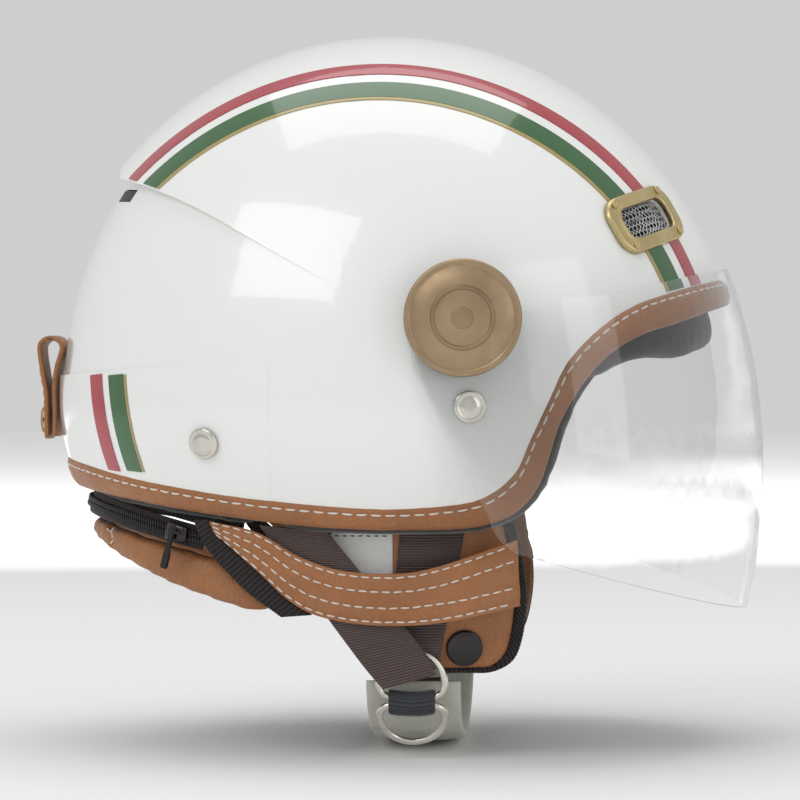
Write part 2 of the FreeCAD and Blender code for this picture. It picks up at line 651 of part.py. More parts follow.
flap = prism(
    "flap_prism", curve_run(*flap_edge(4.6, 2.1)),
    line_run((44, -101.4), (24, -101.4), (9, -92), (-12, -77), (-28, -60), (-36, -46), (49.4, -46)),
    symmetric=False)
each_side("ear_flap", common("ear_flap_part", skirt_layer(FLAP_IN, FLAP_OUT), flap))
piping = prism(
    "piping_prism", curve_run(*flap_edge(0, 0)), line_run((44, -103.5), (24, -103.5), (24, -101.7), (44, -101.7)),
    curve_run(*reversed(flap_edge(4.3, 1.8))), line_run((49.7, -46), (54, -46)), symmetric=False)
each_side("flap_piping", common("piping_part", skirt_layer(-10.2, -4.2), piping))
lining = prism(
    "lining_prism", curve_run(*flap_edge(-1.5, 0.3)),
    line_run((44, -103.2), (26, -103.2), (10, -93), (-10, -78), (-26, -61), (-34, -46), (55.5, -46)),
    symmetric=False)
each_side("flap_lining", common("lining_part", skirt_layer(-13.6, -10.5), lining))

band_top = ((-62, -44.5), (-44, -48.5), (-28, -57.5), (-12, -62.5), (8, -63.5), (24, -60.5), (52.4, -51))
band_low = ((-60, -49), (-44, -63), (-32, -74), (-20, -80), (0, -83), (24, -82), (54.0, -76))
each_side("cheek_band", common("cheek_band_part", skirt_layer(3.4, 5.2),
                               prism("cheek_band_prism", curve_run(*band_low), line_run(band_low[-1], band_top[-1]),
                                     curve_run(*reversed(band_top)), line_run(band_top[0], band_low[0]),
                                     symmetric=False)))
label_outline = line_run((-18, -49), (6, -49), (6, -66), (-18, -66), (-18, -49))
keep("care_label", common("care_label_part", skirt_layer(-5.0, -4.4),
                          prism("care_label_prism", label_outline, symmetric=False)))
front_leg = line_run((9, -47.8), (34, -47.8), (23.2, -101.4), (3, -101.4), (9, -47.8))
each_side("strap_front_leg", common("front_leg_part", skirt_layer(-5.1, -3.6),
                                    prism("front_leg_prism", front_leg, symmetric=False)))
rear_leg = ((-44, -45.8), (-18, -48.3), (21.5, -98), (21.5, -107.5), (2, -107.5), (-16, -84))
each_side("strap_rear_leg", common("rear_leg_part", skirt_layer(1.5, 3.0),
                                   prism("rear_leg_prism", line_run(*rear_leg, rear_leg[0]), symmetric=False)))

snap_place = on_skirt(33.5, -93.5, FLAP_OUT + 0.3)
snap = lathe(
    "snap",
    (("0", "0"), ("snap_radius", "0"), ("snap_radius", "snap_height - snap_crown"),
     ("snap_radius - 1.4", "snap_height"), ("0", "snap_height")), snap_place)
both_sides("flap_snaps", snap)

# ---------------------------------------------------------------- D rings and their webbing loop

RING_X = 13.0
RING_TOP_Z = -113.0
ring_lower_place = on_skirt(RING_X, RING_TOP_Z - size["loop_pitch"] / 2, -0.9)
ring_upper_place = on_skirt(RING_X, RING_TOP_Z + size["loop_pitch"] / 2, -0.9)


def ring(name, base, tilt):
    """D ring with its straight bar along X through base, hanging down."""
    body = doc.addObject("PartDesign::Body", name)
    path = body_sketch(body, name + "_path", "XZ_Plane")
    half = size["ring_half_width"]
    corner = size["ring_corner"]
    drop = size["ring_drop"]
    straight = half - corner
    path.addGeometry(Part.LineSegment(V(0, 0, 0), V(straight, 0, 0)), False)
    path.addGeometry(Part.ArcOfCircle(Part.Circle(V(straight, -corner, 0), Z_AXIS, corner), 0, math.pi / 2), False)
    path.addGeometry(Part.LineSegment(V(half, -corner, 0), V(half, -drop, 0)), False)
    path.addGeometry(Part.ArcOfCircle(Part.Circle(V(0, -drop, 0), Z_AXIS, half), math.pi, 2 * math.pi), False)
    path.addGeometry(Part.LineSegment(V(-half, -drop, 0), V(-half, -corner, 0)), False)
    path.addGeometry(Part.ArcOfCircle(Part.Circle(V(-straight, -corner, 0), Z_AXIS, corner),
                                      math.pi / 2, math.pi), False)
    path.addGeometry(Part.LineSegment(V(-straight, 0, 0), V(0, 0, 0)), False)
    section = body_sketch(body, name + "_wire", "YZ_Plane")
    index = section.addGeometry(Part.Circle(ORIGIN, Z_AXIS, size["ring_wire"]), False)
    section.addConstraint(Sketcher.Constraint("Coincident", index, 3, -1, 1))
    radius = section.addConstraint(Sketcher.Constraint("Radius", index, size["ring_wire"]))
    bind(section, f"Constraints[{radius}]", "ring_wire")
    pipe = body.newObject("PartDesign::AdditivePipe", name + "_pipe")
    pipe.Profile = section
    pipe.Spine = path
    body.Tip = pipe
    body.Placement = Placement(base, Rotation(X_AXIS, tilt))
    return body


keep("ring_lower", ring("ring_lower_body", ring_lower_place.Base, 34))
keep("ring_upper", ring("ring_upper_body", ring_upper_place.Base, 188))

loop_middle = (ring_lower_place.Base + ring_upper_place.Base) * 0.5
HALF_PITCH = size["loop_pitch"] / 2


def slot_section(name, radius):
    """Rounded slot in the YZ plane, round both ring bars."""
    sketch = doc.addObject("Sketcher::SketchObject", name)
    sketch.addGeometry(Part.ArcOfCircle(Part.Circle(V(0, HALF_PITCH, 0), Z_AXIS, radius), 0, math.pi), False)
    sketch.addGeometry(Part.LineSegment(V(-radius, HALF_PITCH, 0), V(-radius, -HALF_PITCH, 0)), False)
    sketch.addGeometry(Part.ArcOfCircle(Part.Circle(V(0, -HALF_PITCH, 0), Z_AXIS, radius),
                                        math.pi, 2 * math.pi), False)
    sketch.addGeometry(Part.LineSegment(V(radius, -HALF_PITCH, 0), V(radius, HALF_PITCH, 0)), False)
    sketch.Placement = Placement(loop_middle, FRONT_VIEW)
    return sketch


loop_outer = extrude("loop_outer", slot_section("loop_outer_section", size["loop_bore"] + size["loop_wall"]),
                     "loop_half_width + loop_half_width")
loop_inner = extrude("loop_inner", slot_section("loop_inner_section", size["loop_bore"]),
                     "loop_half_width + loop_half_width + 4")
keep("ring_loop", cut("ring_loop_cut", loop_outer, loop_inner))


def chin_arc(name, half_left, half_right, depth, wall, width, top):
    """U shaped strip under the chin: an open elliptic arc with a wall, pushed along X."""
    sketch = doc.addObject("Sketcher::SketchObject", name + "_outline")
    floor = -top - depth

    def side(reach, lift):
        points = []
        for step in range(5):
            angle = math.radians(90 * step / 4)
            points.append((math.cos(angle) * (reach - lift), -top - math.sin(angle) * (depth - lift)))
        return points

    outer = side(half_left, 0) + [(-y, z) for y, z in reversed(side(half_right, 0)[:-1])]
    inner = side(half_left, wall) + [(-y, z) for y, z in reversed(side(half_right, wall)[:-1])]
    for points in (outer, list(reversed(inner))):
        curve = Part.BSplineCurve()
        curve.interpolate([V(y, z, 0) for y, z in points])
        sketch.addGeometry(curve, False)
    for start, end in ((outer[-1], inner[-1]), (inner[0], outer[0])):
        sketch.addGeometry(Part.LineSegment(V(*start, 0), V(*end, 0)), False)
    sketch.Placement = Placement(V(13 - width / 2, 0, 0), FRONT_VIEW)
    item = doc.addObject("Part::Extrusion", name)
    item.Base = sketch
    item.DirMode = "Normal"
    item.LengthFwd = width
    item.Solid = True
    return item


keep("chin_pad", cut("chin_pad_cut", chin_arc("chin_pad_blank", 84.0, 77.0, 29.0, 6.4, 36.4, 106.0),
                     chin_arc("chin_channel", 81.8, 74.8, 26.8, 2.0, 25.6, 104.6)))
keep("chin_strap", chin_arc("chin_strap_arc", 81.5, 74.5, 26.5, 1.4, 25.0, 104.6))

# ---------------------------------------------------------------- neck roll and zip

ZIP_TILT = 13.4
ZIP_CENTRE = V(-32.0, 0, -60.0)
zip_turn = Rotation(Y_AXIS, ZIP_TILT)
back_turn = zip_turn.multiply(Rotation(Z_AXIS, 180))
ZIP = Placement(ZIP_CENTRE, back_turn)


def zip_band(name, inner, outer, low, high, cell="zip_angle"):
    """Part of a turned ring about the zip's axis, centred on the back of the helmet."""
    return lathe(name, ((inner, low), (outer, low), (outer, high), (inner, high)), ZIP,
                 angle_cell=cell, midplane=True)


keep("zip_tape", zip_band("zip_tape_body", "zip_radius - zip_tape_wall", "zip_radius",
                          "0 - zip_tape_half", "zip_tape_half"))
TOOTH_IN = "zip_radius + tooth_gap"
TOOTH_OUT = "zip_radius + tooth_gap + tooth_height"
teeth_low = zip_band("teeth_low", TOOTH_IN, TOOTH_OUT, "0 - tooth_offset - tooth_width", "0 - tooth_offset")
teeth_high = zip_band("teeth_high", TOOTH_IN, TOOTH_OUT, "tooth_offset", "tooth_offset + tooth_width")
keep("zip_teeth", combine("Part::Compound", "zip_teeth_pair", [teeth_low, teeth_high]))

roll_ring = zip_band("roll_ring", "zip_radius - roll_wall", "zip_radius - 1.5", "0 - roll_bottom", "0 - roll_top",
                     "roll_angle")
roll_low = ((-150, -48), (-117, -54), (-106, -59), (-93, -65), (-78, -71), (-62, -76), (-45, -81), (-20, -84))
roll_region = prism("roll_region", curve_run(*roll_low),
                    line_run(roll_low[-1], (-17, -79), (-32, -61), (-41, -44), (-150, -20), roll_low[0]))
keep("neck_roll", common("neck_roll_part", roll_ring, roll_region))
gusset_ring = zip_band("gusset_ring", "zip_radius - 4.6", "zip_radius - 4.6 + gusset_wall", "roll_top", "gusset_top")
gusset_region = prism(
    "gusset_region", line_run((-150, -70), (-46, -70), (-46, -45.2), (-57, -43.8), (-97, -38.3), (-121, -34.8), (-150, -30.8),
                              (-150, -70)))
keep("neck_gusset", common("gusset_part", gusset_ring, gusset_region))
gusset_edge = line_run((-69, -44.5), (-62.5, -44.2), (-59.5, -50), (-43.5, -64), (-31.5, -75), (-24, -79.5),
                       (-36, -80.5), (-50, -70), (-64, -55), (-69, -44.5))
each_side("gusset_binding", common("gusset_binding_part", skirt_layer(1.6, 3.0),
                                   prism("gusset_binding_prism", gusset_edge, symmetric=False)))

SLIDER_SPAN = math.degrees(size["slider_length"] / size["zip_radius"])
SLIDER_START = -60.0
slider_place = Placement(ZIP_CENTRE, zip_turn.multiply(Rotation(Z_AXIS, 180 - SLIDER_START)))
tooth_top = "zip_radius + tooth_gap + tooth_height + slider_gap"
slider = lathe(
    "slider",
    (("zip_radius + slider_gap", "0 - slider_half"), (tooth_top + " + slider_height", "0 - slider_half"),
     (tooth_top + " + slider_height", "slider_half"), ("zip_radius + slider_gap", "slider_half"),
     ("zip_radius + slider_gap", "slider_half - 0.9"), (tooth_top, "slider_half - 0.9"),
     (tooth_top, "0.9 - slider_half"), ("zip_radius + slider_gap", "0.9 - slider_half")),
    slider_place, angle=SLIDER_SPAN, midplane=True)
keep("zip_slider", slider)
pull_point = slider_place.multVec(V(size["zip_radius"] + 5.6, 0, 0))
pull_turn = slider_place.Rotation
pull = plate(
    "pull",
    (("0 - 1.7", "1.5"), ("1.7", "1.5"), ("1.7", "1.5 - pull_length"), ("0 - 1.7", "1.5 - pull_length")),
    "pull_wall", "XZ_Plane", Placement(pull_point, pull_turn.multiply(Rotation(Z_AXIS, 90))), midplane=True)
keep("zip_pull", pull)

# ---------------------------------------------------------------- goggle loop at the back

LOOP_X = -135.3
LOOP_Z = 20.5
LOOP_R = 4.5


def leather_path(name, points, wall):
    """A strip of leather that follows a side view path, as wide as the strap."""
    half = wall / 2
    left = []
    right = []
    for number, point in enumerate(points):
        before = points[max(number - 1, 0)]
        after = points[min(number + 1, len(points) - 1)]
        run = math.hypot(after[0] - before[0], after[1] - before[1])
        across = (-(after[1] - before[1]) / run * half, (after[0] - before[0]) / run * half)
        left.append((point[0] + across[0], point[1] + across[1]))
        right.append((point[0] - across[0], point[1] - across[1]))
    runs = (curve_run(*left), line_run(left[-1], right[-1]), curve_run(*reversed(right)), line_run(right[0], left[0]))
    return extrude(name, outline(name + "_outline", runs), "strap_width")


WALL = size["strap_wall"]
inner_path = [(-133.75, -14.5), (-133.75, -4), (-133.9, 6), (-132.8, 13.6)]
inner_path += [(LOOP_X + LOOP_R * math.cos(math.radians(a)), LOOP_Z + LOOP_R * math.sin(math.radians(a)))
               for a in (0, 45, 82)]
outer_path = [(LOOP_X + LOOP_R * math.cos(math.radians(a)), LOOP_Z + LOOP_R * math.sin(math.radians(a)))
              for a in (98, 135, 180)]
outer_path += [(-138.6, 11), (-137.2, 3), (-137.0, -5), (-137.0, -15.5)]
keep("loop_strap", leather_path("loop_strap_strip", inner_path, WALL))
keep("loop_flap", leather_path("loop_flap_strip", outer_path, WALL))
stud_turn = Rotation(Z_AXIS, V(-1, 0, 0))
keep("loop_snap_cap", lathe(
    "loop_cap",
    (("0", "0"), ("loop_stud_radius", "0"), ("loop_stud_radius", "0.8"), ("loop_stud_radius - 1.2", "1.6"),
     ("0", "1.6")), Placement(V(-138.5, 0, -8), stud_turn)))

# ---------------------------------------------------------------- check and write

doc.recompute()
for item in doc.Objects:
    if "Invalid" in item.State or "Error" in item.State:
        raise RuntimeError(f"{item.Name} is not valid: {item.State}")
os.makedirs("parts", exist_ok=True)
for label, item in nodes.items():
    shape = item.Shape
    if shape.isNull() or not shape.isValid() or not shape.Solids:
        raise RuntimeError(f"{label} has no valid solid")
    shape.exportStep(f"parts/{label}.step")
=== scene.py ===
import bpy
import bmesh
import math
from mathutils import Matrix, Vector, kdtree, noise


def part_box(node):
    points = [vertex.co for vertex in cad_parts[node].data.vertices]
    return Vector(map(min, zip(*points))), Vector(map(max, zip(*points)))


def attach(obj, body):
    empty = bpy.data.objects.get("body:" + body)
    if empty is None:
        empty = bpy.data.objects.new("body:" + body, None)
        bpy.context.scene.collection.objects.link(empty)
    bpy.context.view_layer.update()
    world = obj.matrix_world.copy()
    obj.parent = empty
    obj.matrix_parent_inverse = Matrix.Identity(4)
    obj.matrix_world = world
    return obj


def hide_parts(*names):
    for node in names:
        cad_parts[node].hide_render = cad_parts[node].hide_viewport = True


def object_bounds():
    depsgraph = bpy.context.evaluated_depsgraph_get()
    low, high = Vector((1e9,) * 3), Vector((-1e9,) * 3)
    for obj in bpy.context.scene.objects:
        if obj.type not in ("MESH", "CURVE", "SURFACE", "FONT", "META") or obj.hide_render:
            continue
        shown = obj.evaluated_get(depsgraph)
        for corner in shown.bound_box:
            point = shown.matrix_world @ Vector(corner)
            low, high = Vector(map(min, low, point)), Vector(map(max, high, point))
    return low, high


# Open face motorcycle helmet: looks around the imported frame. Metres, +X to the face, +Y to the wearer's left.

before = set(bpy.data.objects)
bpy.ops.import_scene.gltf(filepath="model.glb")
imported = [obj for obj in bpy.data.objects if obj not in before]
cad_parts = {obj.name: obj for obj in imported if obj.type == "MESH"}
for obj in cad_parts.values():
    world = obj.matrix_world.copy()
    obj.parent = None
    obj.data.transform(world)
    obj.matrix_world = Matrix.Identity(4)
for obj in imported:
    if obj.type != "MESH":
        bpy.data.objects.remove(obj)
cad_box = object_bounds()
RIGHT = -1
LEFT = 1
SIDES = ((RIGHT, "right"), (LEFT, "left"))
MM = 0.001

# Driving sizes of the shell, as half lengths of an egg about the origin (the same as the frame's).
HALF_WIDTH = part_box("outer_shell")[1][1]
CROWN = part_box("outer_shell")[1][2]
FRONT = 0.1396
REAR = 0.1304
BAND_REAR = 0.1320
LOWER = 0.0950
PIVOT = Vector((0.0334, 0.0, 0.0317))
SKIRT = (0.1330, 0.1500, 0.0950, 0.2600)  # Front, rear, half width and depth of the soft lower parts' surface.


# ---------------------------------------------------------------- materials

class Nodes:
    """Small helper that builds a node tree."""

    def __init__(self, name):
        self.material = bpy.data.materials.new(name)
        self.material.use_nodes = True
        self.tree = self.material.node_tree
        self.shader = self.tree.nodes["Principled BSDF"]

    def add(self, kind, settings=None, **inputs):
        node = self.tree.nodes.new(kind)
        for key, value in (settings or {}).items():
            setattr(node, key, value)
        for key, value in inputs.items():
            node.inputs[key.replace("_", " ")].default_value = value
        return node

    def link(self, source, output, target, socket):
        self.tree.links.new(source.outputs[output], target.inputs[socket])

    def set(self, **inputs):
        for key, value in inputs.items():
            self.shader.inputs[key.replace("_", " ")].default_value = value

    def coords(self, kind="Object", scale=(1, 1, 1), turn=(0, 0, 0)):
        source = self.add("ShaderNodeTexCoord")
        mapping = self.add("ShaderNodeMapping")
        mapping.inputs["Scale"].default_value = scale
        mapping.inputs["Rotation"].default_value = turn
        self.link(source, kind, mapping, "Vector")
        return mapping

    def noise(self, coords, scale, detail=4.0, roughness=0.55, distortion=0.0):
        node = self.add("ShaderNodeTexNoise", Scale=scale, Detail=detail, Roughness=roughness, Distortion=distortion)
        self.link(coords, "Vector", node, "Vector")
        return node

    def ramp(self, source, output, stops):
        node = self.add("ShaderNodeValToRGB")
        elements = node.color_ramp.elements
        while len(elements) < len(stops):
            elements.new(0.5)
        for element, (place, value) in zip(elements, stops):
            element.position = place
            element.color = (*value, 1.0) if isinstance(value, tuple) else (value, value, value, 1.0)
        self.link(source, output, node, "Fac")
        return node

    def bump(self, source, output, strength, distance, below=None):
        node = self.add("ShaderNodeBump", Strength=strength, Distance=distance)
        self.link(source, output, node, "Height")
        if below is not None:
            self.link(below, "Normal", node, "Normal")
        return node

    def finish(self, colour=None, roughness=None, normal=None):
        if colour is not None:
            self.link(colour, "Color", self.shader, "Base Color")
        if roughness is not None:
            self.link(roughness, "Color", self.shader, "Roughness")
        if normal is not None:
            self.link(normal, "Normal", self.shader, "Normal")
        return self.material


def mix_colour(nodes, factor, output, first, second):
    node = nodes.add("ShaderNodeMix", {"data_type": "RGBA"})
    node.inputs[6].default_value = (*first, 1.0)
    node.inputs[7].default_value = (*second, 1.0)
    nodes.tree.links.new(factor.outputs[output], node.inputs[0])
    wrap = nodes.add("ShaderNodeHueSaturation")
    nodes.tree.links.new(node.outputs[2], wrap.inputs["Color"])
    return wrap


def lacquer(name, colour, shade):
    """Gloss paint with a clear coat, a faint orange peel and small tone changes."""
    nodes = Nodes(name)
    place = nodes.coords()
    tone = nodes.noise(place, 9.0, 3.0)
    colour_node = mix_colour(nodes, tone, "Fac", colour, shade)
    peel = nodes.noise(place, 420.0, 2.0)
    rough = nodes.ramp(nodes.noise(place, 60.0, 5.0), "Fac", ((0.3, 0.16), (0.7, 0.24)))
    nodes.set(Coat_Weight=1.0, Coat_Roughness=0.04, IOR=1.5)
    return nodes.finish(colour_node, rough, nodes.bump(peel, "Fac", 0.05, 0.0002))


def leather(name, light, dark, grain=900.0):
    """Tanned leather: pebbled grain with creases, uneven dye and rubbed high spots."""
    nodes = Nodes(name)
    place = nodes.coords()
    warp = nodes.noise(place, 160.0, 3.0)
    cells = nodes.add("ShaderNodeTexVoronoi", {"feature": "SMOOTH_F1"}, Scale=grain, Randomness=1.0)
    nodes.link(place, "Vector", cells, "Vector")
    edges = nodes.ramp(cells, "Distance", ((0.05, 1.0), (0.62, 0.0)))
    creases = nodes.noise(place, 90.0, 6.0, 0.7, 1.2)
    tone = nodes.noise(place, 28.0, 6.0, 0.6)
    mixed = mix_colour(nodes, nodes.ramp(tone, "Fac", ((0.32, 0.0), (0.68, 1.0))), "Color", dark, light)
    pores = nodes.add("ShaderNodeMix", {"data_type": "RGBA", "blend_type": "MULTIPLY"})
    pores.inputs[0].default_value = 0.16
    nodes.tree.links.new(mixed.outputs["Color"], pores.inputs[6])
    nodes.tree.links.new(edges.outputs["Color"], pores.inputs[7])
    out = nodes.add("ShaderNodeHueSaturation")
    nodes.tree.links.new(pores.outputs[2], out.inputs["Color"])
    rough = nodes.ramp(warp, "Fac", ((0.3, 0.38), (0.7, 0.56)))
    coarse = nodes.bump(creases, "Fac", 0.35, 0.0006)
    fine = nodes.bump(edges, "Color", 0.6, 0.0003, coarse)
    nodes.set(Specular_IOR_Level=0.45, Sheen_Weight=0.08, Sheen_Roughness=0.4)
    return nodes.finish(out, rough, fine)


def ribbed(name, light, dark, pitch, roughness=0.7, depth=0.00025, turn=0.0, sheen=0.25):
    """Woven or ribbed cloth. The UV map is in metres, U across and V along the strip."""
    nodes = Nodes(name)
    place = nodes.coords("UV", turn=(0, 0, turn))
    ribs = nodes.add("ShaderNodeTexWave", {"bands_direction": "Y"}, Scale=1 / pitch * 0.314, Distortion=0.0)
    nodes.link(place, "Vector", ribs, "Vector")
    yarns = nodes.add("ShaderNodeTexWave", {"bands_direction": "X"}, Scale=1 / pitch * 0.5, Distortion=0.6)
    nodes.link(place, "Vector", yarns, "Vector")
    weave = nodes.add("ShaderNodeMath", {"operation": "MULTIPLY_ADD"})
    nodes.tree.links.new(yarns.outputs["Fac"], weave.inputs[0])
    weave.inputs[1].default_value = 0.35
    nodes.tree.links.new(ribs.outputs["Fac"], weave.inputs[2])
    fuzz = nodes.noise(nodes.coords(), 900.0, 3.0)
    colour = mix_colour(nodes, nodes.ramp(weave, "Value", ((0.1, 0.0), (1.1, 1.0))), "Color", dark, light)
    rough = nodes.ramp(fuzz, "Fac", ((0.2, roughness - 0.08), (0.8, roughness + 0.1)))
    first = nodes.bump(fuzz, "Fac", 0.2, 0.0001)
    nodes.set(Sheen_Weight=sheen, Sheen_Roughness=0.35, Specular_IOR_Level=0.3)
    return nodes.finish(colour, rough, nodes.bump(weave, "Value", 0.9, depth, first))


def cloth(name, light, dark, scale=1500.0, sheen=0.4, strength=0.5, roughness=0.85):
    """Soft knitted or brushed cloth, with no direction."""
    nodes = Nodes(name)
    place = nodes.coords()
    cells = nodes.add("ShaderNodeTexVoronoi", {"feature": "F1"}, Scale=scale, Randomness=0.6)
    nodes.link(place, "Vector", cells, "Vector")
    tone = nodes.noise(place, 55.0, 6.0, 0.65)
    colour = mix_colour(nodes, nodes.ramp(tone, "Fac", ((0.3, 0.0), (0.7, 1.0))), "Color", dark, light)
    rough = nodes.ramp(tone, "Fac", ((0.3, roughness - 0.07), (0.7, roughness + 0.07)))
    pile = nodes.bump(nodes.noise(place, 700.0, 4.0), "Fac", 0.35, 0.0003)
    nodes.set(Sheen_Weight=sheen, Sheen_Roughness=0.5, Specular_IOR_Level=0.2)
    return nodes.finish(colour, rough, nodes.bump(cells, "Distance", strength, 0.0002, pile))


def metal(name, light, dark, low, high, bumps=0.08, scale=900.0, distance=0.0001):
    """Plated or lacquered metal with fine grain and small wear."""
    nodes = Nodes(name)
    place = nodes.coords()
    tone = nodes.noise(place, 70.0, 5.0)
    colour = mix_colour(nodes, nodes.ramp(tone, "Fac", ((0.35, 0.0), (0.65, 1.0))), "Color", dark, light)
    rough = nodes.ramp(nodes.noise(place, 190.0, 6.0, 0.7), "Fac", ((0.3, low), (0.7, high)))
    nodes.set(Metallic=1.0)
    return nodes.finish(colour, rough, nodes.bump(nodes.noise(place, scale, 3.0), "Fac", bumps, distance))


def plastic(name, light, dark, low, high, bumps=0.2, scale=1400.0):
    nodes = Nodes(name)
    place = nodes.coords()
    colour = mix_colour(nodes, nodes.noise(place, 120.0, 4.0), "Fac", dark, light)
    rough = nodes.ramp(nodes.noise(place, 300.0, 4.0), "Fac", ((0.3, low), (0.7, high)))
    return nodes.finish(colour, rough, nodes.bump(nodes.noise(place, scale, 3.0), "Fac", bumps, 0.0001))


def clear_sheet(name):
    """Clear polycarbonate with faint wiping marks."""
    nodes = Nodes(name)
    place = nodes.coords(scale=(1, 1, 4))
    rough = nodes.ramp(nodes.noise(place, 26.0, 6.0, 0.7), "Fac", ((0.35, 0.0), (0.75, 0.02)))
    nodes.set(Transmission_Weight=1.0, IOR=1.45, Specular_IOR_Level=0.5)
    nodes.shader.inputs["Base Color"].default_value = (0.985, 0.992, 0.99, 1.0)
    return nodes.finish(roughness=rough)


WHITE = lacquer("white_lacquer", (0.90, 0.91, 0.89), (0.86, 0.875, 0.85))
RED = lacquer("red_lacquer", (0.43, 0.006, 0.024), (0.36, 0.004, 0.018))
GREEN = lacquer("green_lacquer", (0.012, 0.115, 0.014), (0.009, 0.090, 0.011))
GOLD = lacquer("gold_line", (0.42, 0.32, 0.10), (0.36, 0.27, 0.08))
LEATHER = leather("tan_leather", (0.44, 0.185, 0.070), (0.33, 0.130, 0.046))
LEATHER_DARK = leather("tan_leather_inner", (0.30, 0.115, 0.04), (0.20, 0.075, 0.026))
BINDING = ribbed("ribbed_binding", (0.036, 0.028, 0.028), (0.006, 0.005, 0.005), 0.0016, turn=0.5)
WEBBING = ribbed("ribbed_webbing", (0.13, 0.094, 0.086), (0.045, 0.032, 0.030), 0.0011, 0.62, 0.0002)
SATIN = ribbed("satin_webbing", (0.045, 0.05, 0.055), (0.014, 0.015, 0.018), 0.0009, 0.42, 0.00012, sheen=0.5)
TAPE = ribbed("zip_tape_cloth", (0.03, 0.024, 0.025), (0.008, 0.007, 0.007), 0.0012, 0.75, 0.00015)
LINER = cloth("charcoal_liner", (0.055, 0.049, 0.048), (0.026, 0.023, 0.023), 800.0, 0.35)
GREY_PAD = cloth("grey_pad_cloth", (0.60, 0.60, 0.53), (0.48, 0.48, 0.42), 1100.0, 0.3)
LABEL = cloth("label_cloth", (0.80, 0.80, 0.78), (0.70, 0.70, 0.68), 2400.0, 0.1, 0.3)
THREAD = cloth("white_thread", (0.78, 0.74, 0.68), (0.66, 0.60, 0.53), 3000.0, 0.2, 0.4, 0.7)
FOAM = cloth("black_foam", (0.03, 0.03, 0.03), (0.016, 0.016, 0.016), 420.0, 0.0, 0.6)
BRASS = metal("pale_brass", (0.68, 0.56, 0.30), (0.55, 0.44, 0.22), 0.24, 0.40)
BRONZE = metal("bronze_lacquer", (0.46, 0.335, 0.21), (0.36, 0.26, 0.16), 0.36, 0.50, 0.5, 2600.0, 0.00012)
BRONZE_DARK = metal("bronze_relief", (0.40, 0.28, 0.17), (0.30, 0.21, 0.13), 0.28, 0.42, 0.3, 2600.0, 0.0001)
NICKEL = metal("bright_nickel", (0.74, 0.71, 0.64), (0.60, 0.575, 0.52), 0.08, 0.2, 0.03)
WIRE = metal("wire_silver", (0.66, 0.67, 0.69), (0.45, 0.46, 0.48), 0.2, 0.36)
BLACK = plastic("black_nylon", (0.025, 0.025, 0.026), (0.012, 0.012, 0.013), 0.42, 0.6)
ENAMEL = plastic("black_enamel", (0.016, 0.010, 0.010), (0.008, 0.006, 0.006), 0.06, 0.14, 0.01)
CLEAR = clear_sheet("clear_polycarbonate")
# Painted highlight: an opaque pale colour on the visor's cut edges that stands in for light caught in the clear
# sheet's edges.
VISOR_EDGE_HIGHLIGHT = cloth("visor_edge_painted_highlight", (0.80, 0.84, 0.84), (0.66, 0.71, 0.71), 900.0, 0.0, 0.1, 0.35)
ZIPPER = plastic("zip_coil_nylon", (0.04, 0.038, 0.038), (0.015, 0.014, 0.014), 0.25, 0.4, 0.1)
RIBBED_CLOTH = cloth("black_rib_cloth", (0.052, 0.041, 0.041), (0.018, 0.014, 0.014), 1600.0, 0.35)


# ---------------------------------------------------------------- geometry helpers

def skirt_point(x, z, side=RIGHT, lift=0.0):
    """Point and outward normal above a side view place, on the surface that carries the soft lower parts."""
    front, rear, half, depth = SKIRT
    a = front if x > 0 else rear
    y = side * half * math.sqrt(max(1.0 - (x / a) ** 2 - (z / depth) ** 2, 0.0))
    normal = Vector((x / a ** 2, y / half ** 2, z / depth ** 2)).normalized()
    return Vector((x, y, z)) + normal * lift, normal


def mm(points):
    return [tuple(value * MM for value in point) for point in points]


def spline(points, count):
    """Evenly spaced points on a smooth curve through points of any dimension."""
    points = [tuple(point) for point in points]
    if len(points) == 2:
        dense = [tuple(a + (b - a) * t / 40 for a, b in zip(*points)) for t in range(41)]
    else:
        ends = [tuple(2 * a - b for a, b in zip(points[0], points[1]))] + points
        ends.append(tuple(2 * a - b for a, b in zip(points[-1], points[-2])))
        dense = []
        for p0, p1, p2, p3 in zip(ends, ends[1:], ends[2:], ends[3:]):
            for step in range(16):
                t = step / 16
                dense.append(tuple(
                    0.5 * (2 * b + (c - a) * t + (2 * a - 5 * b + 4 * c - d) * t ** 2
                           + (3 * b - a - 3 * c + d) * t ** 3)
                    for a, b, c, d in zip(p0, p1, p2, p3)))
        dense.append(points[-1])
    lengths = [0.0]
    for first, second in zip(dense, dense[1:]):
        lengths.append(lengths[-1] + math.dist(first, second))
    result = []
    place = 0
    for number in range(count):
        goal = lengths[-1] * number / (count - 1)
        while place < len(dense) - 2 and lengths[place + 1] < goal:
            place += 1
        span = max(lengths[place + 1] - lengths[place], 1e-12)
        t = min(max((goal - lengths[place]) / span, 0.0), 1.0)
        result.append(tuple(a + (b - a) * t for a, b in zip(dense[place], dense[place + 1])))
    return result


def curve_value(points, x):
    """Height of a smooth side view line at x. The points rise in x."""
    if x <= points[0][0]:
        return points[0][1]
    if x >= points[-1][0]:
        return points[-1][1]
    for number in range(len(points) - 1):
        if points[number][0] <= x <= points[number + 1][0]:
            break
    p0 = points[max(number - 1, 0)]
    p1, p2 = points[number], points[number + 1]
    p3 = points[min(number + 2, len(points) - 1)]
    t = (x - p1[0]) / (p2[0] - p1[0])
    m1 = (p2[1] - p0[1]) / (p2[0] - p0[0]) * (p2[0] - p1[0])
    m2 = (p3[1] - p1[1]) / (p3[0] - p1[0]) * (p2[0] - p1[0])
    return ((2 * t ** 3 - 3 * t ** 2 + 1) * p1[1] + (t ** 3 - 2 * t ** 2 + t) * m1
            + (3 * t ** 2 - 2 * t ** 3) * p2[1] + (t ** 3 - t ** 2) * m2)


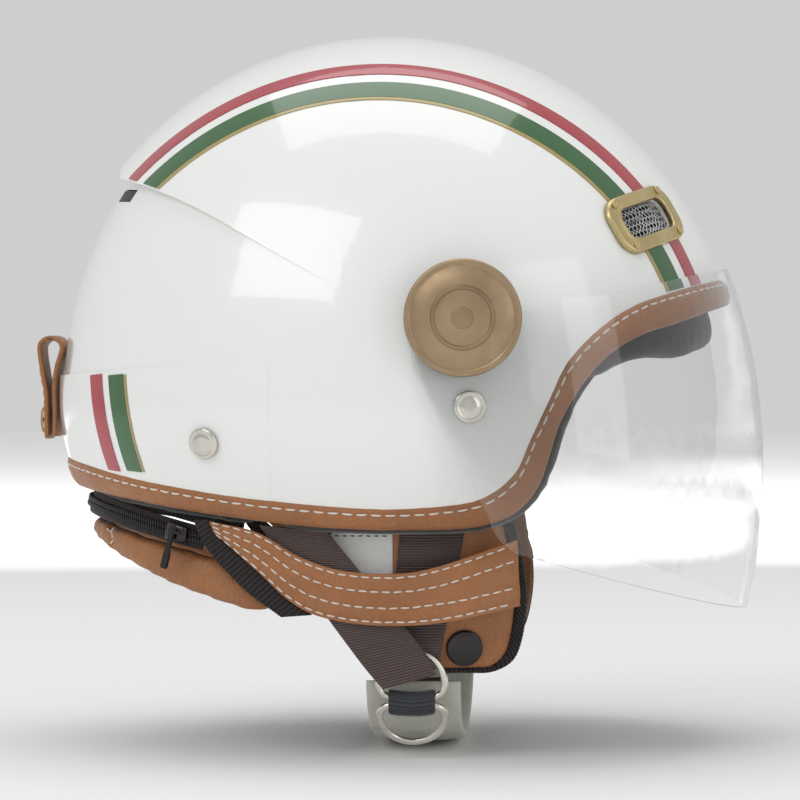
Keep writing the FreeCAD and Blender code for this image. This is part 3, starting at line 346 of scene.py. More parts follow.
def add_object(name, data, body=None):
    obj = bpy.data.objects.new(name, data)
    bpy.context.scene.collection.objects.link(obj)
    if body:
        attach(obj, body)
    return obj


def declare(node):
    """Hide the CAD node that a piece replaces."""
    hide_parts(node)


def apply_modifiers(obj, *names):
    with bpy.context.temp_override(object=obj, active_object=obj):
        for name in names:
            bpy.ops.object.modifier_apply(modifier=name)


def bisect(is_below, low, high, turns=40):
    """Last place that is_below still accepts, between an accepted low and a refused high."""
    for _ in range(turns):
        middle = (low + high) / 2
        low, high = (middle, high) if is_below(middle) else (low, middle)
    return low


def make_object(name, verts, faces, material, body="shell", uvs=None):
    mesh = bpy.data.meshes.new(name)
    mesh.from_pydata([tuple(v) for v in verts], [], faces)
    mesh.materials.append(material)
    if uvs is not None:
        layer = mesh.uv_layers.new(name="metres")
        for loop in mesh.loops:
            layer.data[loop.index].uv = uvs[loop.vertex_index]
    mesh.shade_smooth()
    return add_object(name, mesh, body)


def fix_normals(obj):
    work = bmesh.new()
    work.from_mesh(obj.data)
    bmesh.ops.recalc_face_normals(work, faces=work.faces)
    work.to_mesh(obj.data)
    work.free()


def grid_faces(rows, columns, close_rows=False, close_columns=False):
    faces = []
    for row in range(rows if close_rows else rows - 1):
        for column in range(columns if close_columns else columns - 1):
            a = row * columns + column
            b = row * columns + (column + 1) % columns
            c = ((row + 1) % rows) * columns + (column + 1) % columns
            d = ((row + 1) % rows) * columns + column
            faces.append((a, b, c, d))
    return faces


def add_tube(verts, faces, rings):
    """Add a capped tube over rings of points to the lists of a mesh that holds many."""
    start, columns = len(verts), len(rings[0])
    for ring in rings:
        verts.extend(ring)
    for row in range(len(rings) - 1):
        for column in range(columns):
            a = start + row * columns + column
            b = start + row * columns + (column + 1) % columns
            faces.append((a, b, b + columns, a + columns))
    faces.append(tuple(start + column for column in range(columns))[::-1])
    faces.append(tuple(start + (len(rings) - 1) * columns + column for column in range(columns)))


def circle(count):
    return [2 * math.pi * step / count for step in range(count)]


def superellipse(angle, power):
    c, s = math.cos(angle), math.sin(angle)
    return (math.copysign(abs(c) ** (2 / power), c), math.copysign(abs(s) ** (2 / power), s))


def oval(count, power):
    """Corners of a rounded section, each from -1 to 1 across and through."""
    return [superellipse(angle, power) for angle in circle(count)]


def tube_rings(rings, name, material, body="shell", closed=False, uvs=None):
    """A skin over rings of points. Open ends are capped."""
    rows, columns = len(rings), len(rings[0])
    verts = [point for ring in rings for point in ring]
    faces = grid_faces(rows, columns, closed, True)
    if not closed:
        faces.append(tuple(range(columns))[::-1])
        faces.append(tuple((rows - 1) * columns + number for number in range(columns)))
    obj = make_object(name, verts, faces, material, body, uvs=uvs)
    fix_normals(obj)
    return obj


def ribbon(name, edge_a, edge_b, lift, wall, material, side, stations, across=14, bulge=None, power=7.0):
    """A strip between two side view edges in millimetres, lying on the skirt, with rounded borders."""
    first, second = spline(mm(edge_a), stations), spline(mm(edge_b), stations)
    rings, uvs = [], []
    length = 0.0
    before = None
    for number, (a, b) in enumerate(zip(first, second)):
        t = number / (stations - 1)
        outer, inner, marks = [], [], []
        middle = Vector(((a[0] + b[0]) / 2, (a[1] + b[1]) / 2))
        length += (middle - before).length if before is not None else 0.0
        before = middle
        width = math.dist(a, b)
        for step in range(across):
            s = 0.5 - 0.5 * math.cos(math.pi * step / (across - 1))
            crown = (1.0 - abs(2 * s - 1) ** power) ** (1 / power)
            x = a[0] + (b[0] - a[0]) * s
            z = a[1] + (b[1] - a[1]) * s
            extra = bulge(s, t) if bulge else 0.0
            outer.append(skirt_point(x, z, side, lift + wall * (0.5 + 0.5 * crown) + extra)[0])
            inner.append(skirt_point(x, z, side, lift + wall * (0.5 - 0.5 * crown))[0])
            marks.append((s * width, length))
        rings.append(outer + inner[-2:0:-1])
        uvs += marks + marks[-2:0:-1]
    return tube_rings(rings, name, material, uvs=uvs)


def stitch_line(name, path, pitch=0.0046, length=0.0034, thick=0.00032, body="shell", material=None):
    """Single stitches laid along (point, normal) pairs, each a small rounded bar that dips at its ends."""
    places = [0.0]
    for (p, _), (q, _) in zip(path, path[1:]):
        places.append(places[-1] + (q - p).length)
    verts, faces = [], []
    count = int(places[-1] / pitch)
    seek = 0
    # Share of the length, size and height of each section.
    sections = ((-0.5, 0.15, -0.6), (-0.42, 0.75, -0.1), (-0.2, 1.0, 0.25), (0.2, 1.0, 0.25),
                (0.42, 0.75, -0.1), (0.5, 0.15, -0.6))
    for number in range(count):
        centre = (number + 0.5) * pitch
        while seek < len(path) - 2 and places[seek + 1] < centre:
            seek += 1
        (p, n), (q, m) = path[seek], path[seek + 1]
        t = (centre - places[seek]) / max(places[seek + 1] - places[seek], 1e-9)
        middle = p.lerp(q, t)
        along = (q - p).normalized()
        up = n.lerp(m, t).normalized()
        over = up.cross(along).normalized()
        along = over.cross(up)
        tilt = 0.06 * math.sin(number * 2.7)
        along = (along + over * tilt).normalized()
        over = up.cross(along)
        rings = []
        for place, size, height in sections:
            centre = middle + along * (place * length) + up * (height * thick)
            rings.append([centre + over * (math.cos(angle) * thick * 1.25 * size)
                          + up * (math.sin(angle) * thick * size) for angle in circle(6)])
        add_tube(verts, faces, rings)
    return make_object(name, verts, faces, material or THREAD, body)


# ---------------------------------------------------------------- camera, light and floor

CAMERA_TURN = math.radians(3.0)
CAMERA_DISTANCE = 1.5
target = Vector((0.004, 0.0, 0.0))


def aim(obj, place, goal):
    obj.location = place
    obj.rotation_euler = (Vector(goal) - Vector(place)).to_track_quat("-Z", "Y").to_euler()


camera_data = bpy.data.cameras.new("camera")
camera_data.lens = 168.75
camera_data.sensor_width = 36.0
camera = add_object("camera", camera_data)
aim(camera, target + Vector((math.sin(CAMERA_TURN), -math.cos(CAMERA_TURN), 0.012)) * CAMERA_DISTANCE, target)
bpy.context.scene.camera = camera

world = bpy.data.worlds.new("studio")
world.use_nodes = True
world.node_tree.nodes["Background"].inputs["Color"].default_value = (1.0, 1.0, 1.0, 1.0)
world.node_tree.nodes["Background"].inputs["Strength"].default_value = 0.62
bpy.context.scene.world = world
bpy.context.scene.view_settings.view_transform = "Standard"


def area_light(name, place, goal, size, power):
    data = bpy.data.lights.new(name, "AREA")
    data.shape = "RECTANGLE"
    data.size, data.size_y = size
    data.energy = power
    aim(add_object(name, data), place, goal)


area_light("key", (-0.9, -1.3, 1.2), (0, 0, 0), (1.2, 0.9), 7)
area_light("fill", (1.4, -1.1, 0.5), (0, 0, 0), (0.8, 1.2), 3)
area_light("top", (0.0, 0.2, 1.8), (0, 0, 0), (1.6, 1.2), 8)
area_light("back_wall", (0.3, 1.6, 0.9), (0, 3.5, 0.2), (3.0, 1.6), 40)

floor_level = cad_box[0][2] - 0.0005
floor_nodes = Nodes("pale_floor")
floor_nodes.set(Roughness=0.9)
floor_nodes.shader.inputs["Base Color"].default_value = (0.95, 0.95, 0.95, 1.0)
FLOOR_HALF = 6
floor_corners = [(x * FLOOR_HALF, y * FLOOR_HALF, floor_level) for x, y in ((-1, -1), (1, -1), (1, 1), (-1, 1))]
floor = make_object("floor", floor_corners, [(0, 1, 2, 3)], floor_nodes.material, body=None)


# ---------------------------------------------------------------- side view lines, in millimetres

TRIM_TOP = ((-150, -18), (-121, -23.5), (-89, -30), (-45, -36), (0, -39.3), (28, -38), (42, -34.3), (52, -26),
            (57.5, -14), (64.3, 0.5), (72, 16), (84, 28.5), (97, 37), (112, 42.3), (135, 48.5), (155, 52))
TRIM_LOW = ((-150, -30), (-121, -34), (-97, -37.5), (-57, -43), (-16, -47), (28, -47.4), (44, -45), (54, -40),
            (61, -31), (65, -20), (69, -7), (77, 6.5), (87, 18), (100, 26), (115, 31), (135, 38), (155, 43))
BAND_TOP = ((-62, -44.5), (-44, -48.5), (-28, -57.5), (-12, -62.5), (8, -63.5), (24, -60.5), (51.4, -51))
BAND_LOW = ((-60, -49), (-44, -63), (-32, -74), (-20, -80), (0, -83), (24, -82), (52.4, -76))


def egg_lengths(x, z, lift, lower=LOWER, low_rear=BAND_REAR):
    """Half lengths, for a place on it, of the shell's egg grown by lift, as the shell's layers grow."""
    return ((FRONT if x > 0 else low_rear) + lift, HALF_WIDTH + lift, (CROWN if z > 0 else lower) + lift)


def on_egg(x, z, side, lift=0.0, lower=LOWER):
    """Point on the egg grown outwards by lift, with its normal."""
    a, b, c = egg_lengths(x, z, lift, lower, BAND_REAR if z <= 0 else REAR)
    y = side * b * math.sqrt(max(1.0 - (x / a) ** 2 - (z / c) ** 2, 0.0))
    return Vector((x, y, z)), Vector((x / a ** 2, y / b ** 2, z / c ** 2)).normalized()


def half_loop(line, lift, count, lower=LOWER):
    """Side view places along a line, close together near the middle plane, where the line runs off the egg."""
    dense = spline(mm(line), 1600)

    def is_inside(point):
        a, _, c = egg_lengths(*point, lift, lower)
        return 1.0 - (point[0] / a) ** 2 - (point[1] / c) ** 2 > 0

    def between(start, end, share):
        return tuple(a + (b - a) * share for a, b in zip(dense[start], dense[end]))

    inside = [number for number, point in enumerate(dense) if is_inside(point)]
    ends = [edge + step * bisect(lambda share: is_inside(between(edge, edge + step, share)), 0.0, 1.0)
            for edge, step in ((inside[0], -1), (inside[-1], 1))]
    result = []
    for number in range(count + 1):
        place = ends[0] + (ends[1] - ends[0]) * (0.5 - 0.5 * math.cos(math.pi * number / count))
        whole = min(int(place), len(dense) - 2)
        result.append(between(whole, whole + 1, place - whole))
    return result


def rim_stations(count, lift=0.0, lower=LOWER):
    """Closed loop of (middle, up along the egg, outward normal, half width), evenly spaced, from the rear middle."""
    half_count = 260
    tops = half_loop(TRIM_TOP, lift, half_count, lower)
    lows = half_loop(TRIM_LOW, lift, half_count, lower)
    pairs = []
    for side, order in ((RIGHT, range(0, half_count + 1)), (LEFT, range(half_count - 1, 0, -1))):
        for number in order:
            high, _ = on_egg(*tops[number], side, lift, lower=lower)
            deep, _ = on_egg(*lows[number], side, lift, lower=lower)
            pairs.append((*high, *deep))
    pairs.append(pairs[0])
    lengths = [0.0]
    for first, second in zip(pairs, pairs[1:]):
        lengths.append(lengths[-1] + math.dist(first, second))
    stations = []
    place = 0
    for number in range(count):
        goal = lengths[-1] * number / count
        while lengths[place + 1] < goal:
            place += 1
        t = (goal - lengths[place]) / (lengths[place + 1] - lengths[place])
        mixed = [a + (b - a) * t for a, b in zip(pairs[place], pairs[place + 1])]
        high, deep = Vector(mixed[:3]), Vector(mixed[3:])
        middle = (high + deep) / 2
        a, b, c = egg_lengths(middle.x, middle.z, lift, lower)
        normal = Vector((middle.x / a ** 2, middle.y / b ** 2, middle.z / c ** 2)).normalized()
        across = (high - deep)
        half = across.length / 2
        across = (across - normal * across.dot(normal)).normalized()
        stations.append((middle, across, normal, half))
    return stations


def ripple(point, scale, size):
    return noise.noise(point * scale) * size


# ---------------------------------------------------------------- leather edge trim

TRIM_PROUD = 0.0019
TRIM_DEEP = 0.0064
TRIM_SEAM = 0.0026
TRIM_POWER = 2.7
trim_half_thick = (TRIM_PROUD + TRIM_DEEP) / 2
trim_middle = TRIM_PROUD - trim_half_thick
rim = rim_stations(900)
trim_rings, seam_path = [], []
for middle, across, normal, half in rim:
    half += 0.0003
    ring = []
    seam = half - TRIM_SEAM
    for s, t in oval(44, TRIM_POWER):
        sideways = s * half
        outwards = trim_middle + t * trim_half_thick
        point = middle + across * sideways
        if t > 0:
            outwards -= 0.00045 * math.exp(-((sideways - seam) / 0.0006) ** 2)
            outwards += ripple(point, 240, 0.00016) + ripple(point, 70, 0.00022)
        ring.append(point + normal * outwards)
    trim_rings.append(ring)
    skin = (1 - abs(seam / half) ** TRIM_POWER) ** (1 / TRIM_POWER)
    seam_path.append((middle + across * seam + normal * (trim_middle + trim_half_thick * skin - 0.0002), normal))
trim = tube_rings(trim_rings, "leather_trim", LEATHER, closed=True)
declare("edge_trim")
stitch_line("trim_stitches", seam_path + seam_path[:1], 0.0054, 0.0040, 0.00036)

# ---------------------------------------------------------------- linings and pads

LINER_LOWER = 0.143
PAD_OUT = -0.0072
PAD_IN = -0.0255
VOXEL = 0.003
SIM_FRAMES = 20


def puff(obj, cap):
    """Swell a closed pad by cloth simulation, and keep each point within cap of where it started."""
    scene = bpy.context.scene
    remesh = obj.modifiers.new("remesh", "REMESH")
    remesh.mode = "VOXEL"
    remesh.voxel_size = VOXEL
    remesh.use_smooth_shade = True
    apply_modifiers(obj, "remesh")
    before = [vertex.co.copy() for vertex in obj.data.vertices]
    cloth_modifier = obj.modifiers.new("cloth", "CLOTH")
    settings = cloth_modifier.settings
    settings.quality = 6
    settings.use_pressure = True
    settings.uniform_pressure_force = 4.0
    settings.effector_weights.gravity = 0
    settings.mass = 0.3
    cloth_modifier.collision_settings.use_collision = False
    cloth_modifier.point_cache.frame_start = 1
    cloth_modifier.point_cache.frame_end = SIM_FRAMES
    for frame_number in range(1, SIM_FRAMES + 1):
        scene.frame_set(frame_number)
    after = obj.evaluated_get(bpy.context.evaluated_depsgraph_get()).data
    moved = [vertex.co.copy() for vertex in after.vertices]
    obj.modifiers.remove(cloth_modifier)
    scene.frame_set(1)
    for vertex, start, end in zip(obj.data.vertices, before, moved):
        step = end - start
        if step.length > cap:
            step *= cap / step.length
        vertex.co = start + step
    relax = obj.modifiers.new("relax", "SMOOTH")
    relax.iterations = 3
    relax.factor = 0.4
    finer = obj.modifiers.new("finer", "SUBSURF")
    finer.levels = 1
    finer.render_levels = 1
    apply_modifiers(obj, "relax", "finer")
    obj.data.shade_smooth()


def dent(obj, path, depth, width):
    """Press a sewn channel into a pad along a list of points."""
    tree = kdtree.KDTree(len(path))
    for number, point in enumerate(path):
        tree.insert(point, number)
    tree.balance()
    normals = [vertex.normal.copy() for vertex in obj.data.vertices]
    for vertex, normal in zip(obj.data.vertices, normals):
        _, _, far = tree.find(vertex.co)
        if far < width * 3:
            vertex.co -= normal * depth * math.exp(-(far / width) ** 2)


def snapped(obj, points, lift=0.0001):
    """Path of (point, normal) where points meet the skin of a piece."""
    path = []
    for point in points:
        _, place, normal, _ = obj.closest_point_on_mesh(point)
        path.append((place + normal * lift, normal))
    return path


pad_rim = rim_stations(520, (PAD_OUT + PAD_IN) / 2, LINER_LOWER)
PAD_PARTS = (("nape_pad", -1.0, -0.0425, None), ("cheek_pad_right", -0.041, 0.0735, RIGHT),
             ("cheek_pad_left", -0.041, 0.0735, LEFT), ("forehead_pad", 0.075, 1.0, None))
FOREHEAD_HANG = 0.012
pad_half = (PAD_OUT - PAD_IN) / 2 - 0.0008
for label, start, end, only in PAD_PARTS:
    chosen = [place for place in range(len(pad_rim))
              if start <= pad_rim[place][0].x <= end and (only is None or pad_rim[place][0].y * only > 0)]
    if label == "nape_pad":
        gap = next(number for number in range(len(chosen) - 1) if chosen[number + 1] - chosen[number] > 1)
        chosen = chosen[gap + 1:] + chosen[:gap + 1]
    rings = []
    for number, place in enumerate(chosen):
        middle, across, normal, half = pad_rim[place]
        from_end = min(number, len(chosen) - 1 - number)
        hang = (FOREHEAD_HANG if label == "forehead_pad" else 0.0) * min(1.0, from_end / 40)
        middle = middle - across * hang / 2
        half += hang / 2
        ends = from_end / 7
        size = math.sqrt(max(1 - (1 - min(ends, 1.0)) ** 2, 0.03))
        rings.append([middle + across * (s * (half + 0.0012) * size) + normal * (t * pad_half * size)
                      for s, t in oval(28, 3.0)])
    pad = tube_rings(rings, label + "_cushion", LINER)
    puff(pad, 0.0012)
    declare(label)

# Quilted lining inside the crown, with seams front to back and one round the head.
LINER_LIFT = -0.033
rim_line = mm([(x - 0.6, z + 1.2) for x, z in TRIM_LOW])
rows, columns = 96, 240
liner_front, liner_rear, liner_width, liner_crown, liner_low = (
    length + LINER_LIFT for length in (FRONT, REAR, HALF_WIDTH, CROWN, LINER_LOWER))


def liner_place(angle, turn, inset):
    """Point on the lining, angle down from the crown and turn round it, moved inwards by inset."""
    x = math.sin(angle) * math.cos(turn)
    x *= (liner_front if x > 0 else liner_rear) - inset
    y = math.sin(angle) * math.sin(turn) * (liner_width - inset)
    z = math.cos(angle)
    z *= (liner_crown if z > 0 else liner_low) - inset
    return Vector((x, y, z))


def is_above_rim(point):
    return point.z > curve_value(rim_line, point.x)


verts = []
for column in range(columns):
    turn = 2 * math.pi * column / columns
    rim_angle = bisect(lambda angle: is_above_rim(liner_place(angle, turn, 0)), 0.3, math.pi * 0.95, 36)
    for row in range(rows):
        angle = rim_angle * (row + 0.5) / (rows - 0.5)
        point = liner_place(angle, turn, 0)
        seams = min(abs(abs(point.y) - 0.021) if point.z > 0.02 else 1.0, abs(point.z - 0.018),
                    abs(abs(point.y) - 0.058) if point.z > 0.018 else 1.0,
                    abs(point.x - 0.012) if abs(point.y) > 0.021 else 1.0)
        edge = (rows - 1 - row) / rows
        puffed = -0.0042 * math.exp(-(seams / 0.0045) ** 2) - 0.005 * math.exp(-edge * 26)
        puffed += ripple(point, 60, 0.0007)
        verts.append(liner_place(angle, turn, puffed))
faces = []
for column in range(columns):
    after = (column + 1) % columns
    for row in range(rows - 1):
        faces.append((column * rows + row, column * rows + row + 1, after * rows + row + 1, after * rows + row))
faces.append(tuple(column * rows for column in range(columns)))
lining = make_object("crown_lining", verts, faces, LINER)
thick = lining.modifiers.new("thick", "SOLIDIFY")
thick.thickness = 0.002
thick.offset = 0.0
apply_modifiers(lining, "thick")
declare("comfort_liner")

# ---------------------------------------------------------------- discs, rivets, snaps and screws


def lathe(name, profile, place, axis, material, body="shell", steps=72):
    """Turned piece. The profile is (radius, height) from the axis at the bottom to the axis at the top."""
    axis = axis.normalized()
    first = axis.orthogonal().normalized()
    second = axis.cross(first)
    rings = [[place + first * (math.cos(angle) * radius) + second * (math.sin(angle) * radius) + axis * height
              for angle in circle(steps)] for radius, height in profile]
    return tube_rings(rings, name, material, body)


def rounded_disc(radius, bottom, top, edge, dome=0.0):
    """Profile with a rolled edge and a slight crown."""
    profile = [(0.00005, bottom), (radius - edge * 0.3, bottom), (radius, bottom + edge * 0.3), (radius, top - edge)]
    profile += [(radius - edge * (1 - math.cos(a)), top - edge + edge * math.sin(a))
                for a in (math.radians(d) for d in (15, 30, 45, 60, 75, 90))]
    inner = radius - edge
    return profile + [(inner * s, top + dome * (1 - s * s)) for s in (0.97, 0.9, 0.8, 0.6, 0.4, 0.2, 0.01)]


DISC_EDGE = 0.0011
RIVET_PLACES = ((0.0354, -0.0011), (-0.064, -0.015))
SNAP_PLACE = (0.0335, -0.0935)
pivot_middle = Vector((PIVOT.x, 0, PIVOT.z))
for side, word in SIDES:
    out = Vector((0, side, 0))
    low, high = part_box("pivot_cover_" + word)
    radius = (high.x - low.x) / 2
    back, face = sorted((abs(low.y), abs(high.y)))
    disc_profile = rounded_disc(radius, back, face, DISC_EDGE)[:-7]
    disc_profile += [((radius - DISC_EDGE) * s, face) for s in (0.985, 0.97)]
    disc_profile += [(radius * s, face - d) for s, d in ((0.905, 0.0), (0.895, 0.00035), (0.87, 0.00035), (0.86, 0.0),
                                                         (0.5, 0.0), (0.2, 0.0), (0.004, 0.0))]
    disc = lathe("pivot_disc_" + word, disc_profile, pivot_middle, out, BRONZE, steps=128)
    declare("pivot_cover_" + word)
    emblem_low = face + 0.0001
    ring_profile = [(0.0104, emblem_low), (0.0106, emblem_low + 0.0004), (0.0109, emblem_low + 0.0005),
                    (0.0115, emblem_low + 0.0005), (0.0118, emblem_low + 0.0004), (0.0120, emblem_low)]
    rings = [[Vector((PIVOT.x + r * math.cos(angle), side * h, PIVOT.z + r * math.sin(angle)))
              for r, h in ring_profile] for angle in circle(96)]
    ring_piece = tube_rings(rings, "emblem_ring_" + word, BRONZE_DARK, closed=True)
    dot = lathe("emblem_dot_" + word, rounded_disc(0.004, emblem_low, emblem_low + 0.0005, 0.0003, 0.0001),
                pivot_middle, out, BRONZE_DARK)
    if side == RIGHT:
        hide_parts("pivot_emblems")

    for number, (x, z) in enumerate(RIVET_PLACES):
        profile = rounded_disc(0.006, 0.0004, 0.0023, 0.0007, 0.0002)[:-6]
        profile += [(0.0043, 0.0023), (0.0041, 0.0021), (0.0039, 0.0023), (0.002, 0.0024), (0.0001, 0.0024)]
        rivet = lathe(f"strap_rivet_{number}_{word}", profile, *on_egg(x, z, side), NICKEL)
        declare("strap_rivets")
    snap = lathe("flap_snap_" + word, rounded_disc(0.007, 0.0, 0.0021, 0.0012, 0.0006),
                 *skirt_point(*SNAP_PLACE, side, -0.0051), ENAMEL)
    declare("flap_snaps")

# ---------------------------------------------------------------- front vents

VENT_X, VENT_Z = 0.101, 0.070
VENT_TURN = math.radians(14)
WINDOW_HALF = (0.0150, 0.0060)
WIRE_PITCH = 0.00185
WIRE_RADIUS = 0.00027
WIRE_LEAN = math.radians(52)
WIRE_STEP = 0.00025
SCREW_PLACES = ((0.0155, 0.009), (-0.0155, 0.009), (-0.0155, -0.009), (0.0155, -0.009))


def rounded_rectangle(half_length, half_height, radius, count=96):
    points = []
    for number in range(count):
        corner, step = divmod(number, count // 4)
        angle = math.pi / 2 * (corner + step / (count // 4 - 1))
        sx = 1 if corner in (0, 3) else -1
        sz = 1 if corner in (0, 1) else -1
        points.append((sx * (half_length - radius) + radius * math.cos(angle),
                       sz * (half_height - radius) + radius * math.sin(angle)))
    return points


def vent_frame(side):
    place, normal = on_egg(VENT_X, VENT_Z, side)
    across = normal.cross(Vector((0, 0, 1))).normalized() * -side
    up = normal.cross(across).normalized()
    if up.z < 0:
        up = -up
    turned = across * math.cos(VENT_TURN) - up * math.sin(VENT_TURN)
    raised = up * math.cos(VENT_TURN) + across * math.sin(VENT_TURN)
    return place, normal, turned, raised


def onto_egg(point, normal, lift):
    """Move a point along normal until it meets the egg grown by lift."""

    def is_inside(t):
        p = point + normal * t
        return ((p.x / (FRONT + lift)) ** 2 + (p.y / (HALF_WIDTH + lift)) ** 2 + (p.z / (CROWN + lift)) ** 2) < 1

    return point + normal * bisect(is_inside, -0.03, 0.03)


def wire(place, normal, turned, raised, direction, number):
    """Rings of one woven wire across a vent's window, or None where it misses the window."""
    lean = WIRE_LEAN * direction
    along = (math.cos(lean), math.sin(lean))
    shift = number * WIRE_PITCH
    chain = []
    for step in range(-90, 91):
        s = step * WIRE_STEP
        x = along[0] * s - along[1] * shift
        z = along[1] * s + along[0] * shift
        if abs(x) <= WINDOW_HALF[0] and abs(z) <= WINDOW_HALF[1]:
            wave = 0.00028 * math.sin(math.pi * s / WIRE_PITCH + number * math.pi) * direction
            chain.append(onto_egg(place + turned * x + raised * z, normal, -0.0012 + wave))
    if len(chain) < 4:
        return None
    rings = []
    for index, point in enumerate(chain):
        ahead = (chain[min(index + 1, len(chain) - 1)] - chain[max(index - 1, 0)]).normalized()
        sideways = normal.cross(ahead).normalized()
        rings.append([point + (sideways * math.cos(angle) + normal * math.sin(angle)) * WIRE_RADIUS
                      for angle in circle(6)])
    return rings


for side, word in SIDES:
    place, normal, turned, raised = vent_frame(side)
    window = rounded_rectangle(0.0154, 0.0064, 0.0044)
    border = rounded_rectangle(0.0215, 0.0118, 0.0086)
    profile = [(0.0, 0.0006), (0.0, 0.0022), (0.06, 0.0027), (0.16, 0.0029), (0.24, 0.0026), (0.5, 0.0026),
               (0.74, 0.0026), (0.82, 0.0029), (0.92, 0.0027), (0.985, 0.0020), (1.0, 0.0006)]
    rings = [[onto_egg(place + turned * (x0 + (x1 - x0) * part) + raised * (z0 + (z1 - z0) * part), normal, lift)
              for part, lift in profile] for (x0, z0), (x1, z1) in zip(window, border)]
    bezel = tube_rings(rings, "vent_bezel_" + word, BRASS, closed=True)
    declare("front_vent_bezel_" + word)
    verts, faces = [], []
    for direction in (1, -1):
        for number in range(-16, 17):
            rings = wire(place, normal, turned, raised, direction, number)
            if rings:
                add_tube(verts, faces, rings)
    mesh_wires = make_object("vent_wire_mesh_" + word, verts, faces, WIRE)
    declare("front_vent_mesh_" + word)
    for number, (x, z) in enumerate(SCREW_PLACES):
        spot = onto_egg(place + turned * x + raised * z, normal, 0.0025)
        profile = rounded_disc(0.0015, 0.0, 0.0010, 0.0004, 0.0001)[:-4]
        profile += [(0.0006, 0.0010), (0.00045, 0.0006), (0.0001, 0.0006)]
        screw = lathe(f"vent_screw_{number}_{word}", profile, spot, normal, BRASS, steps=24)
        declare("vent_screws")

# ---------------------------------------------------------------- soft lower parts

FLAP_FRONT = ((49.4, -46), (52.4, -60), (53.9, -76), (51.9, -91), (49.3, -97.4), (44, -101.4))
FLAP_REAR = ((-36, -46), (-28, -60), (-12, -77), (9, -92), (17, -97.5), (24, -101.4))
PIPE_EDGE = ((54, -46), (57, -60), (58.5, -76), (56.5, -91), (52.5, -99.5), (44, -103.4), (34, -103.5),
             (24, -103.5))
PIPE_INNER = ((48.6, -46), (51.7, -60), (53.2, -76), (51.3, -91), (48.4, -97.4), (43.6, -101.4), (34, -101.6),
              (24, -101.6))
LINING_FRONT = ((55.5, -46), (58.5, -60), (60, -76), (58, -91), (53.5, -99.3), (44, -103.2))
LINING_REAR = ((-34, -46), (-26, -61), (-10, -78), (10, -93), (18, -98.5), (26, -103.2))
FRONT_LEG = (((9, -47.8), (3, -101.4)), ((34, -47.8), (23.2, -101.4)))
REAR_LEG = (((-44, -45.8), (-34, -59), (-16, -84), (-5, -99), (2, -107.5)),
            ((-18, -48.3), (-6, -63), (9, -82), (19, -95), (22, -102)))
GUSSET_EDGE = (((-69, -44.5), (-64, -55), (-50, -70), (-36, -80.5)),
               ((-62.5, -44.2), (-59.5, -50), (-43.5, -64), (-24, -79.5)))
LABEL_EDGES = (((-18, -49), (-18, -66)), ((6, -49), (6, -66)))

# Lift above the skirt and thickness of each layer.
FLAP_LAYER = (-0.0094, 0.0036)
PIPING_LAYER = (-0.0102, 0.0058)
LINING_LAYER = (-0.0136, 0.0031)
BAND_LAYER = (0.0034, 0.0017)
FRONT_LEG_LAYER = (-0.0051, 0.0014)
REAR_LEG_LAYER = (0.0015, 0.0014)
GUSSET_EDGE_LAYER = (0.0016, 0.0013)
LABEL_LAYER = (-0.0050, 0.0006)
BAND_POWER = 7.0


def band_path(edge_a, edge_b, inset, side, form, flip):
    """Line of (point, normal) on a cheek band's outer skin, a fixed distance in from edge_a."""
    lift, wall = BAND_LAYER
    count = 500
    path = []
    first, second = spline(mm(edge_a), count), spline(mm(edge_b), count)
    for number, (p, q) in enumerate(zip(first, second)):
        share = inset * min(1.0, math.dist(p, q) / BAND_WIDTH) / math.dist(p, q)
        x, z = (a + (b - a) * share for a, b in zip(p, q))
        s = 1 - share if flip else share
        crown = (1.0 - abs(2 * s - 1) ** BAND_POWER) ** (1 / BAND_POWER)
        t = number / (count - 1)
        path.append(skirt_point(x, z, side, lift + wall * (0.5 + 0.5 * crown) + form(s, t) + 0.00012))
    return path


